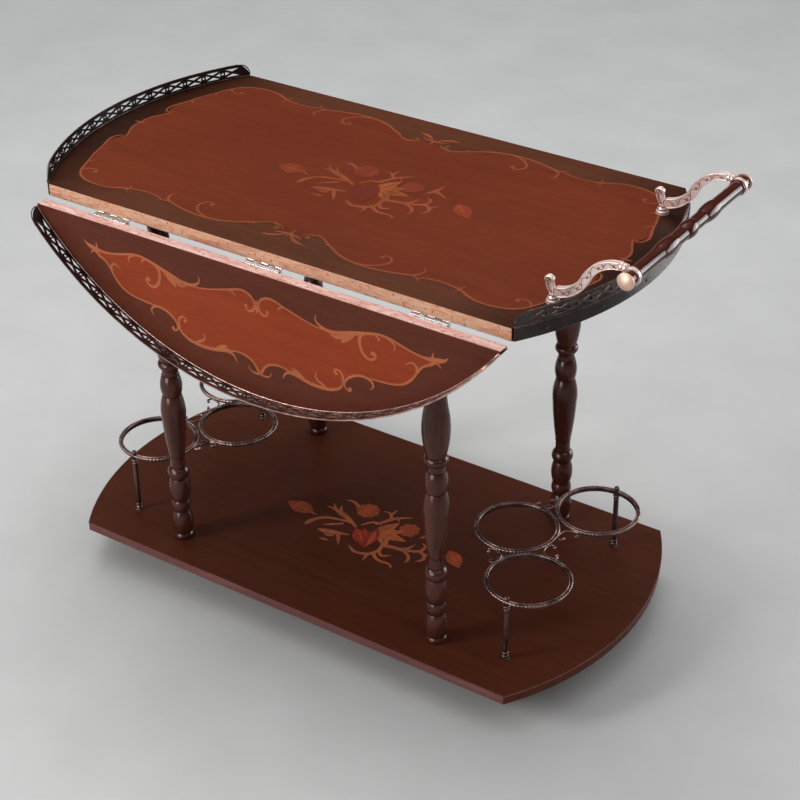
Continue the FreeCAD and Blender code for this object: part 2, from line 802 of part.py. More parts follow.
def bottle_ring(name):
    inner = ring_radius - ring_width
    section = [
        (inner, 0),
        (ring_radius - ring_chamfer, 0),
        (ring_radius, ring_chamfer),
        (ring_radius, ring_height - ring_chamfer),
        (ring_radius - ring_chamfer, ring_height),
        (inner, ring_height),
    ]
    place = ring_places()[name]
    ring = moved(revolved(section), place + Z_AXIS * ring_bottom())
    if name == "middle":
        return ring
    return ring.cut(pin(post_place(name) + Z_AXIS * (ring_bottom() - overrun), Z_AXIS,
                        post_stud_radius + slip, ring_height + 2 * overrun))


def tie_frame(name):
    # Point half way between an outer ring and the middle one, the way between them and the way inwards
    outer = ring_places()[name]
    middle = ring_places()["middle"]
    along = (middle - outer).normalize()
    across = Z_AXIS.cross(along)
    if across.x > 0:
        across = across * -1
    level = Z_AXIS * (ring_bottom() + ring_height / 2)
    return (outer + middle) * 0.5 + level, along, across


def clear_of_rings(shape, name):
    # Cut back to the rims of the two rings that the shape joins
    centres = [ring_places()[name], ring_places()["middle"]]
    return shape.cut([pin(c + Z_AXIS * shelf_top, Z_AXIS, ring_radius, ring_level + ring_height + overrun)
                      for c in centres])


def ring_bridge(name):
    centre, along, across = tie_frame(name)
    flat = Z_AXIS * (ring_height - 2 * ring_chamfer)
    reach = along * ring_tie_gap
    side = across * (ring_tie_width / 2)
    low = centre - flat * 0.5
    corners = [low - reach - side, low + reach - side, low + reach + side, low - reach + side]
    return clear_of_rings(polygon_face(corners).extrude(flat), name)


def ring_scroll(name):
    # Bowed wire that spans the widening gap on the inner side of the bridge
    centre, along, across = tie_frame(name)
    recess = ring_radius - math.sqrt(ring_radius ** 2 - tie_scroll_offset ** 2)
    reach = ring_tie_gap / 2 + recess + tie_scroll_wire
    foot = centre + across * tie_scroll_offset
    start = foot - along * reach
    end = foot + along * reach
    path = Part.Wire([arc(start, foot + across * tie_scroll_bow, end)])
    bow_radius = arc_radius(reach, tie_scroll_bow)
    bow_centre = foot + across * (tie_scroll_bow - bow_radius)
    heading = Z_AXIS.cross(start - bow_centre).normalize()
    profile = Part.Wire([Part.makeCircle(tie_scroll_wire, start, heading)])
    return clear_of_rings(path.makePipeShell([profile], True, True), name)


def post_place(name):
    ring = ring_places()[name]
    way = 1 if ring.y > 0 else -1
    return Vec(ring.x, ring.y + way * (ring_radius - ring_width / 2), 0)


def ring_post(name):
    outline = [
        (0, -post_spigot_length),
        (post_spigot_radius, -post_spigot_length),
        (post_spigot_radius, 0),
        (post_foot_radius, 0),
        (post_foot_radius, post_foot_height * post_flange_share),
        (post_radius, post_foot_height),
        (post_radius, ring_level),
        (post_stud_radius, ring_level),
        (post_stud_radius, ring_level + post_stud_length),
        (0, ring_level + post_stud_length),
    ]
    return moved(revolved(outline), post_place(name) + Z_AXIS * shelf_top)


def post_spigot_hole(name):
    return pin(post_place(name) + Z_AXIS * (shelf_top - post_spigot_length), Z_AXIS,
               post_spigot_radius + slip, post_spigot_length + overrun)


def ring_finial(name):
    seat = post_place(name) + Z_AXIS * (ring_bottom() + ring_height)
    ball = Part.makeSphere(finial_radius, seat + Z_AXIS * finial_radius)
    foot = pin(seat, Z_AXIS, finial_radius * finial_foot_share, finial_radius)
    stud = pin(seat - Z_AXIS * overrun, Z_AXIS, post_stud_radius + slip,
               post_stud_length - ring_height + overrun)
    return ball.fuse(foot).removeSplitter().cut(stud)


def castor_places():
    return {
        "front_left": Vec(-castor_x, -castor_y, 0),
        "front_right": Vec(castor_x, -castor_y, 0),
        "rear_left": Vec(-castor_x, castor_y, 0),
        "rear_right": Vec(castor_x, castor_y, 0),
    }


def castor_screw_seats(place):
    reach = castor_plate_size / 2 - castor_screw_inset
    z = shelf_bottom - castor_plate_thickness
    return [place + Vec(sx * reach, sy * reach, z) for sx in (-1, 1) for sy in (-1, 1)]


def castor_screw_holes(place):
    return [wood_screw_hole(seat) for seat in castor_screw_seats(place)]


def crown_top():
    return shelf_bottom - castor_plate_thickness - face_gap


def castor_plate(place):
    half = castor_plate_size / 2
    low = shelf_bottom - castor_plate_thickness
    plate = block(Vec(-half, -half, low), Vec(half, half, shelf_bottom))
    pin_low = crown_top() - fork_crown_height - face_gap
    king_pin = pin(Z_AXIS * pin_low, Z_AXIS, king_pin_radius, low - pin_low)
    head = pin(Z_AXIS * (pin_low - king_pin_head_height), Z_AXIS, king_pin_head_radius, king_pin_head_height)
    return moved(plate.fuse([king_pin, head]).removeSplitter(), place).cut(castor_screw_holes(place))


def fork_inner():
    return wheel_width / 2 + fork_side_room


def castor_fork(place):
    low = crown_top() - fork_crown_height
    crown = pin(Z_AXIS * low, Z_AXIS, fork_crown_radius, fork_crown_height)
    eye = Vec(-wheel_trail, 0, wheel_radius)
    half_chord = math.sqrt(fork_crown_radius ** 2 - (fork_inner() + fork_thickness) ** 2)
    cheeks = []
    for side in (-1, 1):
        y = side * (fork_inner() + fork_thickness / 2) - fork_thickness / 2
        shift = Y_AXIS * y
        back = eye - X_AXIS * fork_eye_radius + shift
        under = eye - Z_AXIS * fork_eye_radius + shift
        ahead = eye + X_AXIS * fork_eye_radius + shift
        edges = [
            line(Vec(half_chord, y, crown_top()), Vec(-half_chord, y, crown_top())),
            line(Vec(-half_chord, y, crown_top()), back),
            arc(back, under, ahead),
            line(ahead, Vec(half_chord, y, crown_top())),
        ]
        cheeks.append(Part.Face(Part.Wire(edges)).extrude(Y_AXIS * fork_thickness))
    reach = fork_inner() + fork_thickness + overrun
    holes = [
        pin(eye - Y_AXIS * reach, Y_AXIS, axle_radius + slip, 2 * reach),
        pin(Z_AXIS * (low - overrun), Z_AXIS, king_pin_radius + run, fork_crown_height + 2 * overrun),
    ]
    return moved(crown.fuse(cheeks).removeSplitter().cut(holes), place)


def castor_wheel(place):
    bore = axle_radius + run
    half = wheel_width / 2
    upper = [(bore, half)] + [(r * wheel_radius, w * half) for r, w in wheel_section_shares]
    lower = [(r, -w) for r, w in reversed(upper)]
    wheel = swung(revolved(lower + upper), ORIGIN, X_AXIS, 90)
    return moved(wheel, place + Vec(-wheel_trail, 0, wheel_radius))


def castor_axle(place):
    half = fork_inner() + fork_thickness
    shaft = pin(Y_AXIS * -half, Y_AXIS, axle_radius, 2 * half)
    ends = [Y_AXIS * side for side in (-1, 1)]
    heads = [pin(end * half, end, axle_head_radius, axle_head_height) for end in ends]
    return moved(shaft.fuse(heads).removeSplitter(), place + Vec(-wheel_trail, 0, wheel_radius))


def top_panel():
    panel = bowed_board(panel_bottom, top_thickness)
    holes = both(hinge_screw_holes(1))
    holes.extend(handle_gallery.pin_holes(panel_bottom))
    holes.extend(other_side(h) for h in end_gallery.pin_holes(panel_bottom))
    holes.extend(leg_dowel_hole(place) for place in leg_places().values())
    holes.extend(bracket_screw_hole(side) for side in (-1, 1))
    return panel.cut(holes)


def shelf():
    board = bowed_board(shelf_bottom, shelf_thickness)
    holes = [leg_bolt_hole(place) for place in leg_places().values()]
    posts = [post_spigot_hole(name) for name in ("front", "rear")]
    holes.extend(posts + [other_side(h) for h in posts])
    for place in castor_places().values():
        holes.extend(castor_screw_holes(place))
    return board.cut(holes)


def leaf():
    holes = leaf_gallery.pin_holes(panel_bottom) + hinge_screw_holes(-1) + stay_screw_holes()
    return leaf_board().cut(holes)


def both(shapes):
    return shapes + [other_side(s) for s in shapes]


def leaf_pieces():
    # Pieces that swing with the front leaf, in their raised place
    return {
        "leaf": leaf(),
        "leaf_gallery": leaf_gallery.pierced_strip(panel_bottom),
        "leaf_gallery_pins": Part.makeCompound(leaf_gallery.pins(panel_bottom)),
        "leaf_hinge_plates": Part.makeCompound([hinge_plate(x, -1, 1) for x in hinge_places()]),
        "leaf_hinge_screws": Part.makeCompound(hinge_screws(-1)),
        "leaf_stay_screws": Part.makeCompound([stay_screw(side) for side in (-1, 1)]),
    }


def end_gallery_pins():
    return handle_gallery.pins(panel_bottom) + [other_side(p) for p in end_gallery.pins(panel_bottom)]


def all_pieces():
    ties = [tie(name) for tie in (ring_bridge, ring_scroll) for name in ("front", "rear")]
    pieces = {
        "top_panel": top_panel(),
        "shelf": shelf(),
        "leg_dowels": Part.makeCompound([leg_dowel(p) for p in leg_places().values()]),
        "leg_bolts": Part.makeCompound([leg_bolt(p) for p in leg_places().values()]),
        "panel_hinge_plates": Part.makeCompound(both([hinge_plate(x, 1, 0) for x in hinge_places()])),
        "panel_hinge_screws": Part.makeCompound(both(hinge_screws(1))),
        "hinge_pins": Part.makeCompound(both(hinge_pins())),
        "end_gallery_pins": Part.makeCompound(end_gallery_pins()),
        "bracket_screws": Part.makeCompound([bracket_screw(side) for side in (-1, 1)]),
        "handle_rod": handle_rod(),
        "ring_ties": Part.makeCompound(both(ties)),
        "ring_posts": Part.makeCompound(both([ring_post(name) for name in ("front", "rear")])),
        "ring_finials": Part.makeCompound(both([ring_finial(name) for name in ("front", "rear")])),
        "castor_plates": Part.makeCompound([castor_plate(p) for p in castor_places().values()]),
    }
    castor_screws = [wood_screw(s) for p in castor_places().values() for s in castor_screw_seats(p)]
    pieces["castor_screws"] = Part.makeCompound(castor_screws)
    pieces["end_gallery_right"] = handle_gallery.pierced_strip(panel_bottom)
    pieces["end_gallery_left"] = other_side(end_gallery.pierced_strip(panel_bottom))
    for name, place in leg_places().items():
        pieces["leg_" + name] = leg(place)
    for name, raised in leaf_pieces().items():
        pieces["front_" + name] = hanging(raised)
        pieces["rear_" + name] = other_side(hanging(raised))
    for side, name, opposite in ((-1, "left", "right"), (1, "right", "left")):
        pieces["front_stay_" + name] = hanging(stay(side))
        pieces["rear_stay_" + opposite] = other_side(hanging(stay(side)))
    for side, name in ((-1, "front"), (1, "rear")):
        pieces["handle_bracket_" + name] = bracket(side)
        pieces["rod_cap_" + name] = rod_cap(side)
    for name, opposite in (("front", "rear"), ("middle", "middle"), ("rear", "front")):
        pieces["bottle_ring_right_" + name] = bottle_ring(name)
        pieces["bottle_ring_left_" + opposite] = other_side(bottle_ring(name))
    for name, place in castor_places().items():
        pieces["castor_fork_" + name] = castor_fork(place)
        pieces["castor_wheel_" + name] = castor_wheel(place)
        pieces["castor_axle_" + name] = castor_axle(place)
    return {name: moved(shape, to_middle) for name, shape in pieces.items()}


def main():
    os.makedirs("parts", exist_ok=True)
    for name, shape in sorted(all_pieces().items()):
        shape.exportStep("parts/" + name + ".step")
        print(name, len(shape.Solids), "solids", round(shape.Volume), "mm3, valid", shape.isValid())


main()
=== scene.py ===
import json
from math import asin, atan2, copysign, cos, pi, radians, sin

import bpy
from mathutils import Matrix, Vector
from mathutils.geometry import tessellate_polygon


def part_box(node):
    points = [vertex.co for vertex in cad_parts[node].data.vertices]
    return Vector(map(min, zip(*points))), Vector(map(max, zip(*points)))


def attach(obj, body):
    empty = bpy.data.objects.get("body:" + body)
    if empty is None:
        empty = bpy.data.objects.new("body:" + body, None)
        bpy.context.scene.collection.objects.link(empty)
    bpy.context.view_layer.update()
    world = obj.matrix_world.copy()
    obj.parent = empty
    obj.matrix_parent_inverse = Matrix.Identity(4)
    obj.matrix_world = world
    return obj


# Drop leaf tea trolley: inlaid boards, pierced galleries, turned legs, bottle rings and a push handle.
# Sizes are millimetres on the trolley's own plan and become metres in at().

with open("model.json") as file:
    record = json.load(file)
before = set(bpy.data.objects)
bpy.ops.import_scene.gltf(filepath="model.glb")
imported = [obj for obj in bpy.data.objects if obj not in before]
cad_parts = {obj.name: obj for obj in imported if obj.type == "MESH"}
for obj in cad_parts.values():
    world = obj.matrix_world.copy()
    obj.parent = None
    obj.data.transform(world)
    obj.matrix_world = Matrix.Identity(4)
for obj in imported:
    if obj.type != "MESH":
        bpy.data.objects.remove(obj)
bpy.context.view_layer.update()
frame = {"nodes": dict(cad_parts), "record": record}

MM = 0.001
X_WAY = Vector((1, 0, 0))
Y_WAY = Vector((0, 1, 0))
Z_WAY = Vector((0, 0, 1))

panel_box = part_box("top_panel")
plan_x = (panel_box[0].x + panel_box[1].x) / 2

half_length = 333
half_width = 205
end_bow = 62
leaf_depth = 165
top_thickness = 16
shelf_bottom = 55
shelf_top = 67
panel_bottom = 564
panel_top = 580
leaf_face = 229.5  # from the middle line to the hanging leaf's outer face
leaf_edge = 562.5  # height of the hanging leaf's hinge edge
leaf_inner_face = 213.5
leaf_round = 1.6  # kept free for the rounded outer arris of the hinge edge
hinge_y = 209
hinge_z = 559.5
leaf_edge_y = 206  # hinge edge of a raised leaf

# Heights of the inlays over their board, and how much wider than drawn their strokes are
field_lift = 0.10
scroll_lift = 0.16
spray_lift = 0.22
figure_step = 0.004  # each figure lies this much over the one before
leaf_swell = 1.4
top_swell = 1.15
leaf_shift = 4.5  # the leaf's ornament sits a little off its middle
stroke_steps = 6
outline_steps = 3
thin_sides = 6  # of a wire that is too thin to show its facets

facing_proud = 0.12
facing_inset = 0.3
facing_corner = 0.4
arris_radius = 0.65
arris_inset = 0.3
arris_drop = 0.5

gallery_inset = 0.3
gallery_thickness = 1.5
gallery_rise = 19
rim_height = 3.2
bead_height = 2.6
strip_end_gap = 2
handle_strip_gap = 36  # the handle end's strip stops short of the far corner
trim_proud = 0.1
rim_bead = 1.1
rim_bead_in = 0.2
rim_bead_drop = 1
rim_bead_trim = 0.9  # left bare at each end, in rises of the strip
rim_line = 0.6
rim_line_trim = 0.7
end_bead = 0.8
lower_bead = 1.2
inner_bead = 0.7
inner_bead_lift = 1
reed_count = 9
reed_radius = 0.6
reed_margin = 1.2

bracket_x = 340
bracket_y = 130
bracket_reach = 94
bracket_rise = 58.5
bend_along = 0.42  # where the arm's S turns over, as shares of its reach and rise
bend_up = 0.68
collar_angle = 125
arm_lift = 14
arm_thickness = 6
arm_start_height = 12
arm_end_height = 7.5
arm_start_share = 0.045
arm_edge = 0.88  # where the edge beads run, in half heights
arm_bead = 0.9
arm_bead_stop = 8
bead_sunk = 0.1
# Engraving along the arm; the spirals are in half heights of the arm
engraving_start = 3
engraving_stop = 12
engraved_line = 0.4
line_sunk = 0.05
wave_height = 0.66
spiral_reach = 0.40
spiral_close = 0.8
spiral_stretch = 1.2
spiral_shift = 0.16  # in lengths of a wave
spiral_rise = 0.22
spiral_turn = 25
nose_length = 3.2
nose_height = 0.8
nose_line = 0.45
# Scroll at the back of the bracket, with its wire, its engraved curl and stem, and its raised band
scroll_back = 4.6
scroll_height = 26.5
scroll_radius = 3.2
scroll_wire = 2.6
curl_line = 0.7
curl_turn = 20
curl_start = 180
curl_out = 0.9
curl_close = 3.2
stem_in = 0.4
stem_sweep = 5.9
stem_low = 11.5
stem_rise = 13
band_bead = 1.5
band_side = 1.6
band_out = 1.5
band_close = 4.2
band_start = 200
foot_radius = 8.5
# Lines round the foot: share of its radius, height, radius of the line
foot_lines = [(0.97, 2.6, 0.5), (0.66, 5.0, 0.5), (0.60, 9.2, 0.45)]
rod_x = bracket_x + bracket_reach
rod_z = panel_top + bracket_rise
socket_radius = 10.5
socket_length = 4.6
socket_inset = 0.3
socket_bead = 0.5
tenon_radius = 8.4

ring_radius = 54.5
ring_width = 4.6
ring_low = 151
ring_high = 156
ring_spread = 88.5
ring_outer_x = 296.4
ring_middle_x = 227.1
ring_rim = 0.9
rope_radius = 1.5
rope_inset = 0.6
rope_drop = 0.9
rope_turns = 70
rope_depth = 0.3
# Half of a curled scroll between two rings: along and across the line of their centres
tie_half = [(-8.6, 42), (-12, 42.8), (-15, 39.4), (-13.6, 34.5), (-9, 30.6), (-4, 27.8)]
tie_middle = (0, 26.8)
tie_steps = 5
tie_wire = 1.25
tie_ball = 2.4
post_radius = 3.4
# Beads of a ring post: height, how far off the post's surface, radius
post_bead_rows = [(72, 0, 1.1), (76.5, -0.2, 0.8), (144, -0.2, 0.8), (148.5, 0, 1.2)]

leg_x = 204.5
leg_y = 156
leg_length = 497
leg_radius = 17.5
# Radius of the painted shade rings in the legs' grooves
groove_shade_line = 0.6
# Grooves of a leg's turning, as shares of its length and of its widest radius
leg_grooves = [
    (0.018, 0.67), (0.089, 0.63), (0.125, 0.65), (0.195, 0.65), (0.23, 0.58), (0.262, 0.57), (0.455, 0.7),
    (0.515, 0.64), (0.535, 0.66), (0.559, 0.7), (0.801, 0.57), (0.829, 0.65), (0.897, 0.65), (0.926, 0.66),
]

FRONT_REAR = (("front", -1), ("rear", 1))
LEFT_RIGHT = (("left", -1), ("right", 1))


def at(x, y, z):
    return Vector((plan_x + x * MM, y * MM, z * MM))


def bow_radius(half_chord, bow):
    return (half_chord ** 2 + bow ** 2) / (2 * bow)


def srgb(red, green, blue):
    def linear(level):
        share = level / 255
        if share <= 0.04045:
            return share / 12.92
        return ((share + 0.055) / 1.055) ** 2.4
    return (linear(red), linear(green), linear(blue), 1.0)


def grey(level):
    return (level, level, level, 1.0)


def shade(colour, share):
    return tuple(min(1.0, c * share) for c in colour[:3]) + (1.0,)


class Shader:
    # The nodes of a material or of the sky, with helpers that add and join them

    def __init__(self, holder, surface="Principled BSDF", place="Object"):
        holder.use_nodes = True
        self.material = holder
        self.tree = holder.node_tree
        self.surface = self.tree.nodes[surface]
        self.place = self.node("TexCoord").outputs[place]

    def put(self, value, socket):
        # An output is joined to the socket; a number or a colour is set on it
        if hasattr(value, "is_linked"):
            self.tree.links.new(value, socket)
        else:
            socket.default_value = value

    def fill(self, node, values):
        for name, value in values.items():
            self.put(value, node.inputs[name.replace("_", " ")])
        return node

    def node(self, kind, **values):
        return self.fill(self.tree.nodes.new("ShaderNode" + kind), values)

    def set(self, **values):
        self.fill(self.surface, values)

    def stretched(self, scale):
        return self.node("Mapping", Vector=self.place, Scale=scale).outputs["Vector"]

    def noise(self, vector, scale, detail=4.0, rough=0.55, distortion=0.0):
        made = self.node("TexNoise", Vector=vector, Scale=scale, Detail=detail, Roughness=rough,
                         Distortion=distortion)
        return made.outputs["Fac"]

    def ramp(self, factor, stops):
        made = self.node("ValToRGB", Fac=factor)
        marks = made.color_ramp.elements
        while len(marks) < len(stops):
            marks.new(0.5)
        for mark, (where, colour) in zip(marks, stops):
            mark.position = where
            mark.color = colour
        return made.outputs["Color"]

    def mask(self, factor, start, stop, most):
        return self.ramp(factor, [(start, grey(0)), (stop, grey(most))])

    def blend(self, kind, factor, first, second):
        made = self.node("Mix")
        made.data_type = "RGBA"
        made.blend_type = kind
        for value, socket in ((factor, 0), (first, 6), (second, 7)):
            self.put(value, made.inputs[socket])
        return made.outputs[2]

    def times(self, first, second):
        return self.blend("MULTIPLY", 1.0, first, second)

    def calc(self, operation, *values):
        made = self.node("Math")
        made.operation = operation
        for value, socket in zip(values, made.inputs):
            self.put(value, socket)
        return made.outputs[0]

    def along(self, axis):
        return self.node("SeparateXYZ", Vector=self.place).outputs[axis]

    def ranged(self, value, start, stop, low, high):
        made = self.node("MapRange", Value=value, From_Min=start, From_Max=stop, To_Min=low, To_Max=high)
        return made.outputs["Result"]

    def ends(self, start, stop, dark):
        # Painted shade: white in the middle of the trolley, falling to dark towards its two ends
        out = self.calc("ABSOLUTE", self.calc("SUBTRACT", self.along("X"), plan_x))
        return self.ramp(out, [(start, grey(1)), (stop, dark + (1,))])

    def slope(self, axis, start, stop, low):
        # low up to start, rising to 1 at stop, along X or out from the middle line along Y
        value = self.along(axis)
        if axis == "Y":
            value = self.calc("ABSOLUTE", value)
        return self.ranged(value, start, stop, low, 1.0)

    def rough(self, noise, low, high):
        self.set(Roughness=self.ranged(noise, *noise_span, low, high))

    def bump(self, height, strength, distance):
        made = self.node("Bump", Height=height, Strength=strength, Distance=distance)
        self.set(Normal=made.outputs["Normal"])


def shader(name):
    return Shader(bpy.data.materials.new(name))


ALONG_X = (1.0, 11.0, 11.0)
ALONG_Y = (11.0, 1.0, 11.0)
ALONG_Z = (11.0, 11.0, 1.0)
EDGE_GRAIN = (1.0, 6.0, 6.0)
noise_span = (0.3, 0.7)  # between these lies nearly all of a noise


def wood(name, tint, grain, contrast=0.14, rough=(0.34, 0.46), coat=0.03, shine=0.1, ends=None):
    # Lacquered veneer: broad figure, fine pores along the grain, and a lacquer that wears unevenly
    s = shader(name)
    s.set(Specular_IOR_Level=shine, Coat_Weight=coat, Coat_Roughness=0.1)
    colour = srgb(*tint)
    figure = s.noise(s.stretched(grain), 5.0, 6.0, 0.6, 1.4)
    fine = s.noise(s.stretched([g * 7 for g in grain]), 14.0, 3.0, 0.7)
    cloud = s.noise(s.place, 4.5, 3.0)
    dark, light = shade(colour, 1 - contrast), shade(colour, 1 + contrast)
    tone = s.ramp(figure, [(0.28, dark), (0.50, colour), (0.74, light)])
    pores = s.ramp(fine, [(0.36, grey(0.85)), (0.52, grey(1))])
    clouds = s.ramp(cloud, [(0.3, grey(0.90)), (0.7, (1.06, 1.05, 1.04, 1))])
    toned = s.times(s.times(tone, pores), clouds)
    # ends paints shade over the board towards the trolley's ends
    if ends:
        toned = s.times(toned, s.ends(*ends))
    s.set(Base_Color=toned)
    s.rough(s.noise(s.place, 22.0, 5.0), *rough)
    s.bump(fine, 0.08, 0.0005)
    return s.material


def raw_edge(name, pale, mid, deep):
    # Bare board edge: pinkish wood dust with stain and glue blotches
    s = shader(name)
    s.set(Specular_IOR_Level=0.15)
    fibre = s.noise(s.stretched(EDGE_GRAIN), 60.0, 6.0, 0.65)
    chips = s.noise(s.place, 190.0, 3.0, 0.7)
    stain = s.noise(s.stretched([0.35 * g for g in EDGE_GRAIN]), 26.0, 4.0, 0.6, 0.8)
    worn = s.noise(s.stretched([0.6 * g for g in EDGE_GRAIN]), 9.0, 3.0, 0.5)
    base = s.ramp(fibre, [(0.30, srgb(*deep)), (0.48, srgb(*mid)), (0.70, srgb(*pale))])
    stained = s.blend("MIX", s.mask(stain, 0.50, 0.70, 0.6), base, srgb(196, 96, 62))
    rubbed = s.blend("MIX", s.mask(worn, 0.58, 0.72, 0.7), stained, srgb(238, 218, 206))
    s.set(Base_Color=s.blend("MIX", s.mask(chips, 0.57, 0.66, 0.7), rubbed, srgb(164, 70, 48)))
    s.rough(fibre, 0.55, 0.8)
    s.bump(chips, 0.2, 0.0005)
    return s.material


def bronze(name, dark, light, wear, rough, metal=0.85, scale=70.0, fleck=0.12, coat=0.0, fades=()):
    # Patinated metal: dark in the hollows, rubbed brighter in patches; fades darken it along X or Y, shaping
    # the painted reflection and shade of the leaf strips
    s = shader(name)
    s.set(Metallic=metal, Coat_Weight=coat, Coat_Roughness=0.14)
    patches = s.noise(s.place, scale, 5.0, 0.6)
    flecks = s.noise(s.place, scale * 9, 3.0, 0.7)
    tone = s.ramp(patches, [(0.5 - wear, srgb(*dark)), (0.5 + wear, srgb(*light))])
    # Painted shade: each fade darkens the tone below its ramp
    for fade in fades:
        tone = s.times(tone, s.slope(*fade))
    spots = s.ramp(flecks, [(0.32, (0.55, 0.5, 0.5, 1)), (0.55, grey(1))])
    s.set(Base_Color=s.blend("MULTIPLY", 5 * fleck, tone, spots))
    s.rough(flecks, *rough)
    s.bump(flecks, fleck, 0.0004)
    return s.material


def steel(name, tint, rough):
    # Plated steel with fine rolling marks and dull spots
    s = shader(name)
    s.set(Metallic=1.0)
    colour = srgb(*tint)
    marks = s.noise(s.stretched((40.0, 4.0, 40.0)), 30.0, 4.0, 0.6)
    dull = s.noise(s.place, 90.0, 4.0)
    tone = s.ramp(marks, [(0.3, shade(colour, 0.72)), (0.6, colour), (0.8, shade(colour, 1.15))])
    s.set(Base_Color=s.blend("MIX", s.mask(dull, 0.64, 0.78, 0.5), tone, srgb(120, 88, 66)))
    s.rough(dull, *rough)
    s.bump(marks, 0.08, 0.0003)
    return s.material


def nylon(name):
    # Black wheel with scuffs and floor dust on its tread
    s = shader(name)
    scuffs = s.noise(s.place, 120.0, 5.0, 0.7)
    stops = [(0.35, srgb(24, 23, 23)), (0.62, srgb(44, 42, 41)), (0.78, srgb(92, 88, 84))]
    s.set(Base_Color=s.ramp(scuffs, stops))
    s.rough(scuffs, 0.42, 0.7)
    s.bump(scuffs, 0.2, 0.0004)
    return s.material


mat = {
    # The top margin is darkened towards its rounded ends as painted shade and painted dark reflection of the
    # galleries
    "top_panel_veneer": wood("top_margin_wood", (97, 54, 35), ALONG_X, shine=0.07,
                             ends=(0.24, 0.37, (0.26, 0.24, 0.22))),
    "top_field": wood("top_field_wood", (118, 51, 29), ALONG_X, 0.12, shine=0.07),
    "leaf_veneer": wood("leaf_margin_wood", (110, 54, 37), ALONG_X, shine=0.07),
    "leaf_field": wood("leaf_field_wood", (168, 69, 35), ALONG_X, 0.12, shine=0.07),
    "shelf_veneer": wood("shelf_wood", (90, 44, 27), ALONG_X),
    "shelf_edge": wood("shelf_edge_wood", (128, 82, 78), ALONG_X, 0.35, (0.4, 0.6), 0.0),
    "scroll": wood("scroll_wood", (202, 113, 72), ALONG_X, 0.18),
    "top_scroll": wood("top_scroll_wood", (150, 78, 48), ALONG_X, 0.18),
    "turned_wood": wood("turned_mahogany", (90, 46, 35), ALONG_Z, 0.4, (0.2, 0.3), 0.24, 0.14),
    # Painted shade for the grooves of the turned legs
    "leg_groove_shade": wood("groove_painted_shade_wood", (26, 12, 9), ALONG_Z, 0.4, (0.4, 0.6)),
    "rod": wood("rod_mahogany", (80, 29, 16), ALONG_Y, 0.4, (0.10, 0.18), 0.3, 0.14),
    "dowel_wood": wood("dowel_beech", (196, 160, 112), ALONG_Z, 0.2, (0.5, 0.7), 0.0),
    "panel_edge": raw_edge("panel_raw_edge_wood", (255, 222, 194), (254, 198, 160), (236, 156, 118)),
    "leaf_edge": raw_edge("leaf_raw_edge_wood", (246, 216, 208), (228, 184, 172), (198, 144, 130)),
    "gallery_bronze": bronze("gallery_dark_bronze", (30, 23, 22), (66, 51, 48), 0.2, (0.32, 0.5), coat=0.7),
    # Painted reflection and shade: the leaf strips are paler than the end strips for the leaf wood they
    # reflect, the fade along X paints shade over their left part, and the fade along Y keeps the band along
    # the board's edge dark
    "leaf_gallery": bronze("leaf_gallery_reflection_bronze", (100, 72, 66), (186, 140, 128), 0.2, (0.28, 0.44),
                           fades=[("X", -0.36, 0.05, 0.16), ("Y", 0.2275, 0.2305, 0.2)]),
    # Rubbed bronze with painted highlight: the leaf strips' beads are paler than the end strips' for the
    # highlights along them, and the fade along X paints shade over their left part
    "rim": bronze("gallery_rubbed_and_highlight_bronze", (176, 140, 130), (250, 218, 208), 0.16, (0.22, 0.36), 0.6,
                  fades=[("X", -0.40, -0.05, 0.2)]),
    "end_rim": bronze("gallery_end_rim_bronze", (54, 42, 38), (120, 98, 90), 0.16, (0.24, 0.42)),
    "ring_bronze": bronze("ring_dark_bronze", (58, 44, 40), (120, 92, 82), 0.2, (0.28, 0.46)),
    "rope": bronze("ring_rope_bronze", (80, 62, 58), (182, 152, 146), 0.16, (0.24, 0.42)),
    "bracket_metal": bronze("rose_bronze", (244, 206, 194), (255, 238, 232), 0.22, (0.24, 0.36), 0.3,
                            fleck=0.03),
    "cap": bronze("cap_bronze", (232, 186, 164), (244, 204, 184), 0.2, (0.4, 0.5), 0.3, 40, 0.01),
    "engraved": bronze("engraved_bronze", (92, 54, 46), (150, 98, 86), 0.2, (0.45, 0.6)),
    "hinge_steel": steel("hinge_zinc", (206, 204, 204), (0.18, 0.36)),
    "fastener_steel": steel("fastener_zinc", (176, 174, 172), (0.28, 0.46)),
    "castor_steel": steel("castor_zinc", (166, 166, 168), (0.28, 0.48)),
    "castor_tread": nylon("castor_black_nylon"),
}
# Two sets of the same inlay woods: the top's end in _soft, and the shelf's are painted brighter against the
# shade under the top
for inlay_wood, tint, contrast in (
    ("spray_soft", (154, 78, 46), 0.2),
    ("spray", (188, 106, 70), 0.3),
    ("gold_soft", (156, 84, 46), 0.24),
    ("gold", (194, 104, 62), 0.3),
    ("petal_red_soft", (116, 46, 29), 0.2),
    ("petal_red", (166, 60, 40), 0.4),
    ("petal_orange_soft", (140, 60, 36), 0.24),
    ("petal_orange", (176, 82, 50), 0.3),
    ("petal_light", (204, 92, 62), 0.3),
    ("bud_soft", (150, 60, 37), 0.3),
):
    mat[inlay_wood] = wood(inlay_wood + "_wood", tint, ALONG_Y, contrast)
mat["petal_light_soft"] = mat["top_field"]
mat["bud"] = mat["petal_orange"]


def dress_nodes():
    # Each node has the material of its slot, apart from the rod, its caps and the leaf strips
    for row in frame["record"]["subparts"]:
        name = row["node"]
        key = row["material_slot"]
        if name == "handle_rod":
            key = "rod"
        elif name.startswith("rod_cap"):
            key = "cap"
        elif name.endswith("leaf_gallery"):
            key = "leaf_gallery"
        node = frame["nodes"][name]
        node.data.materials.clear()
        node.data.materials.append(mat[key])


def shown(name, data):
    made = bpy.data.objects.new(name, data)
    bpy.context.scene.collection.objects.link(made)
    return made


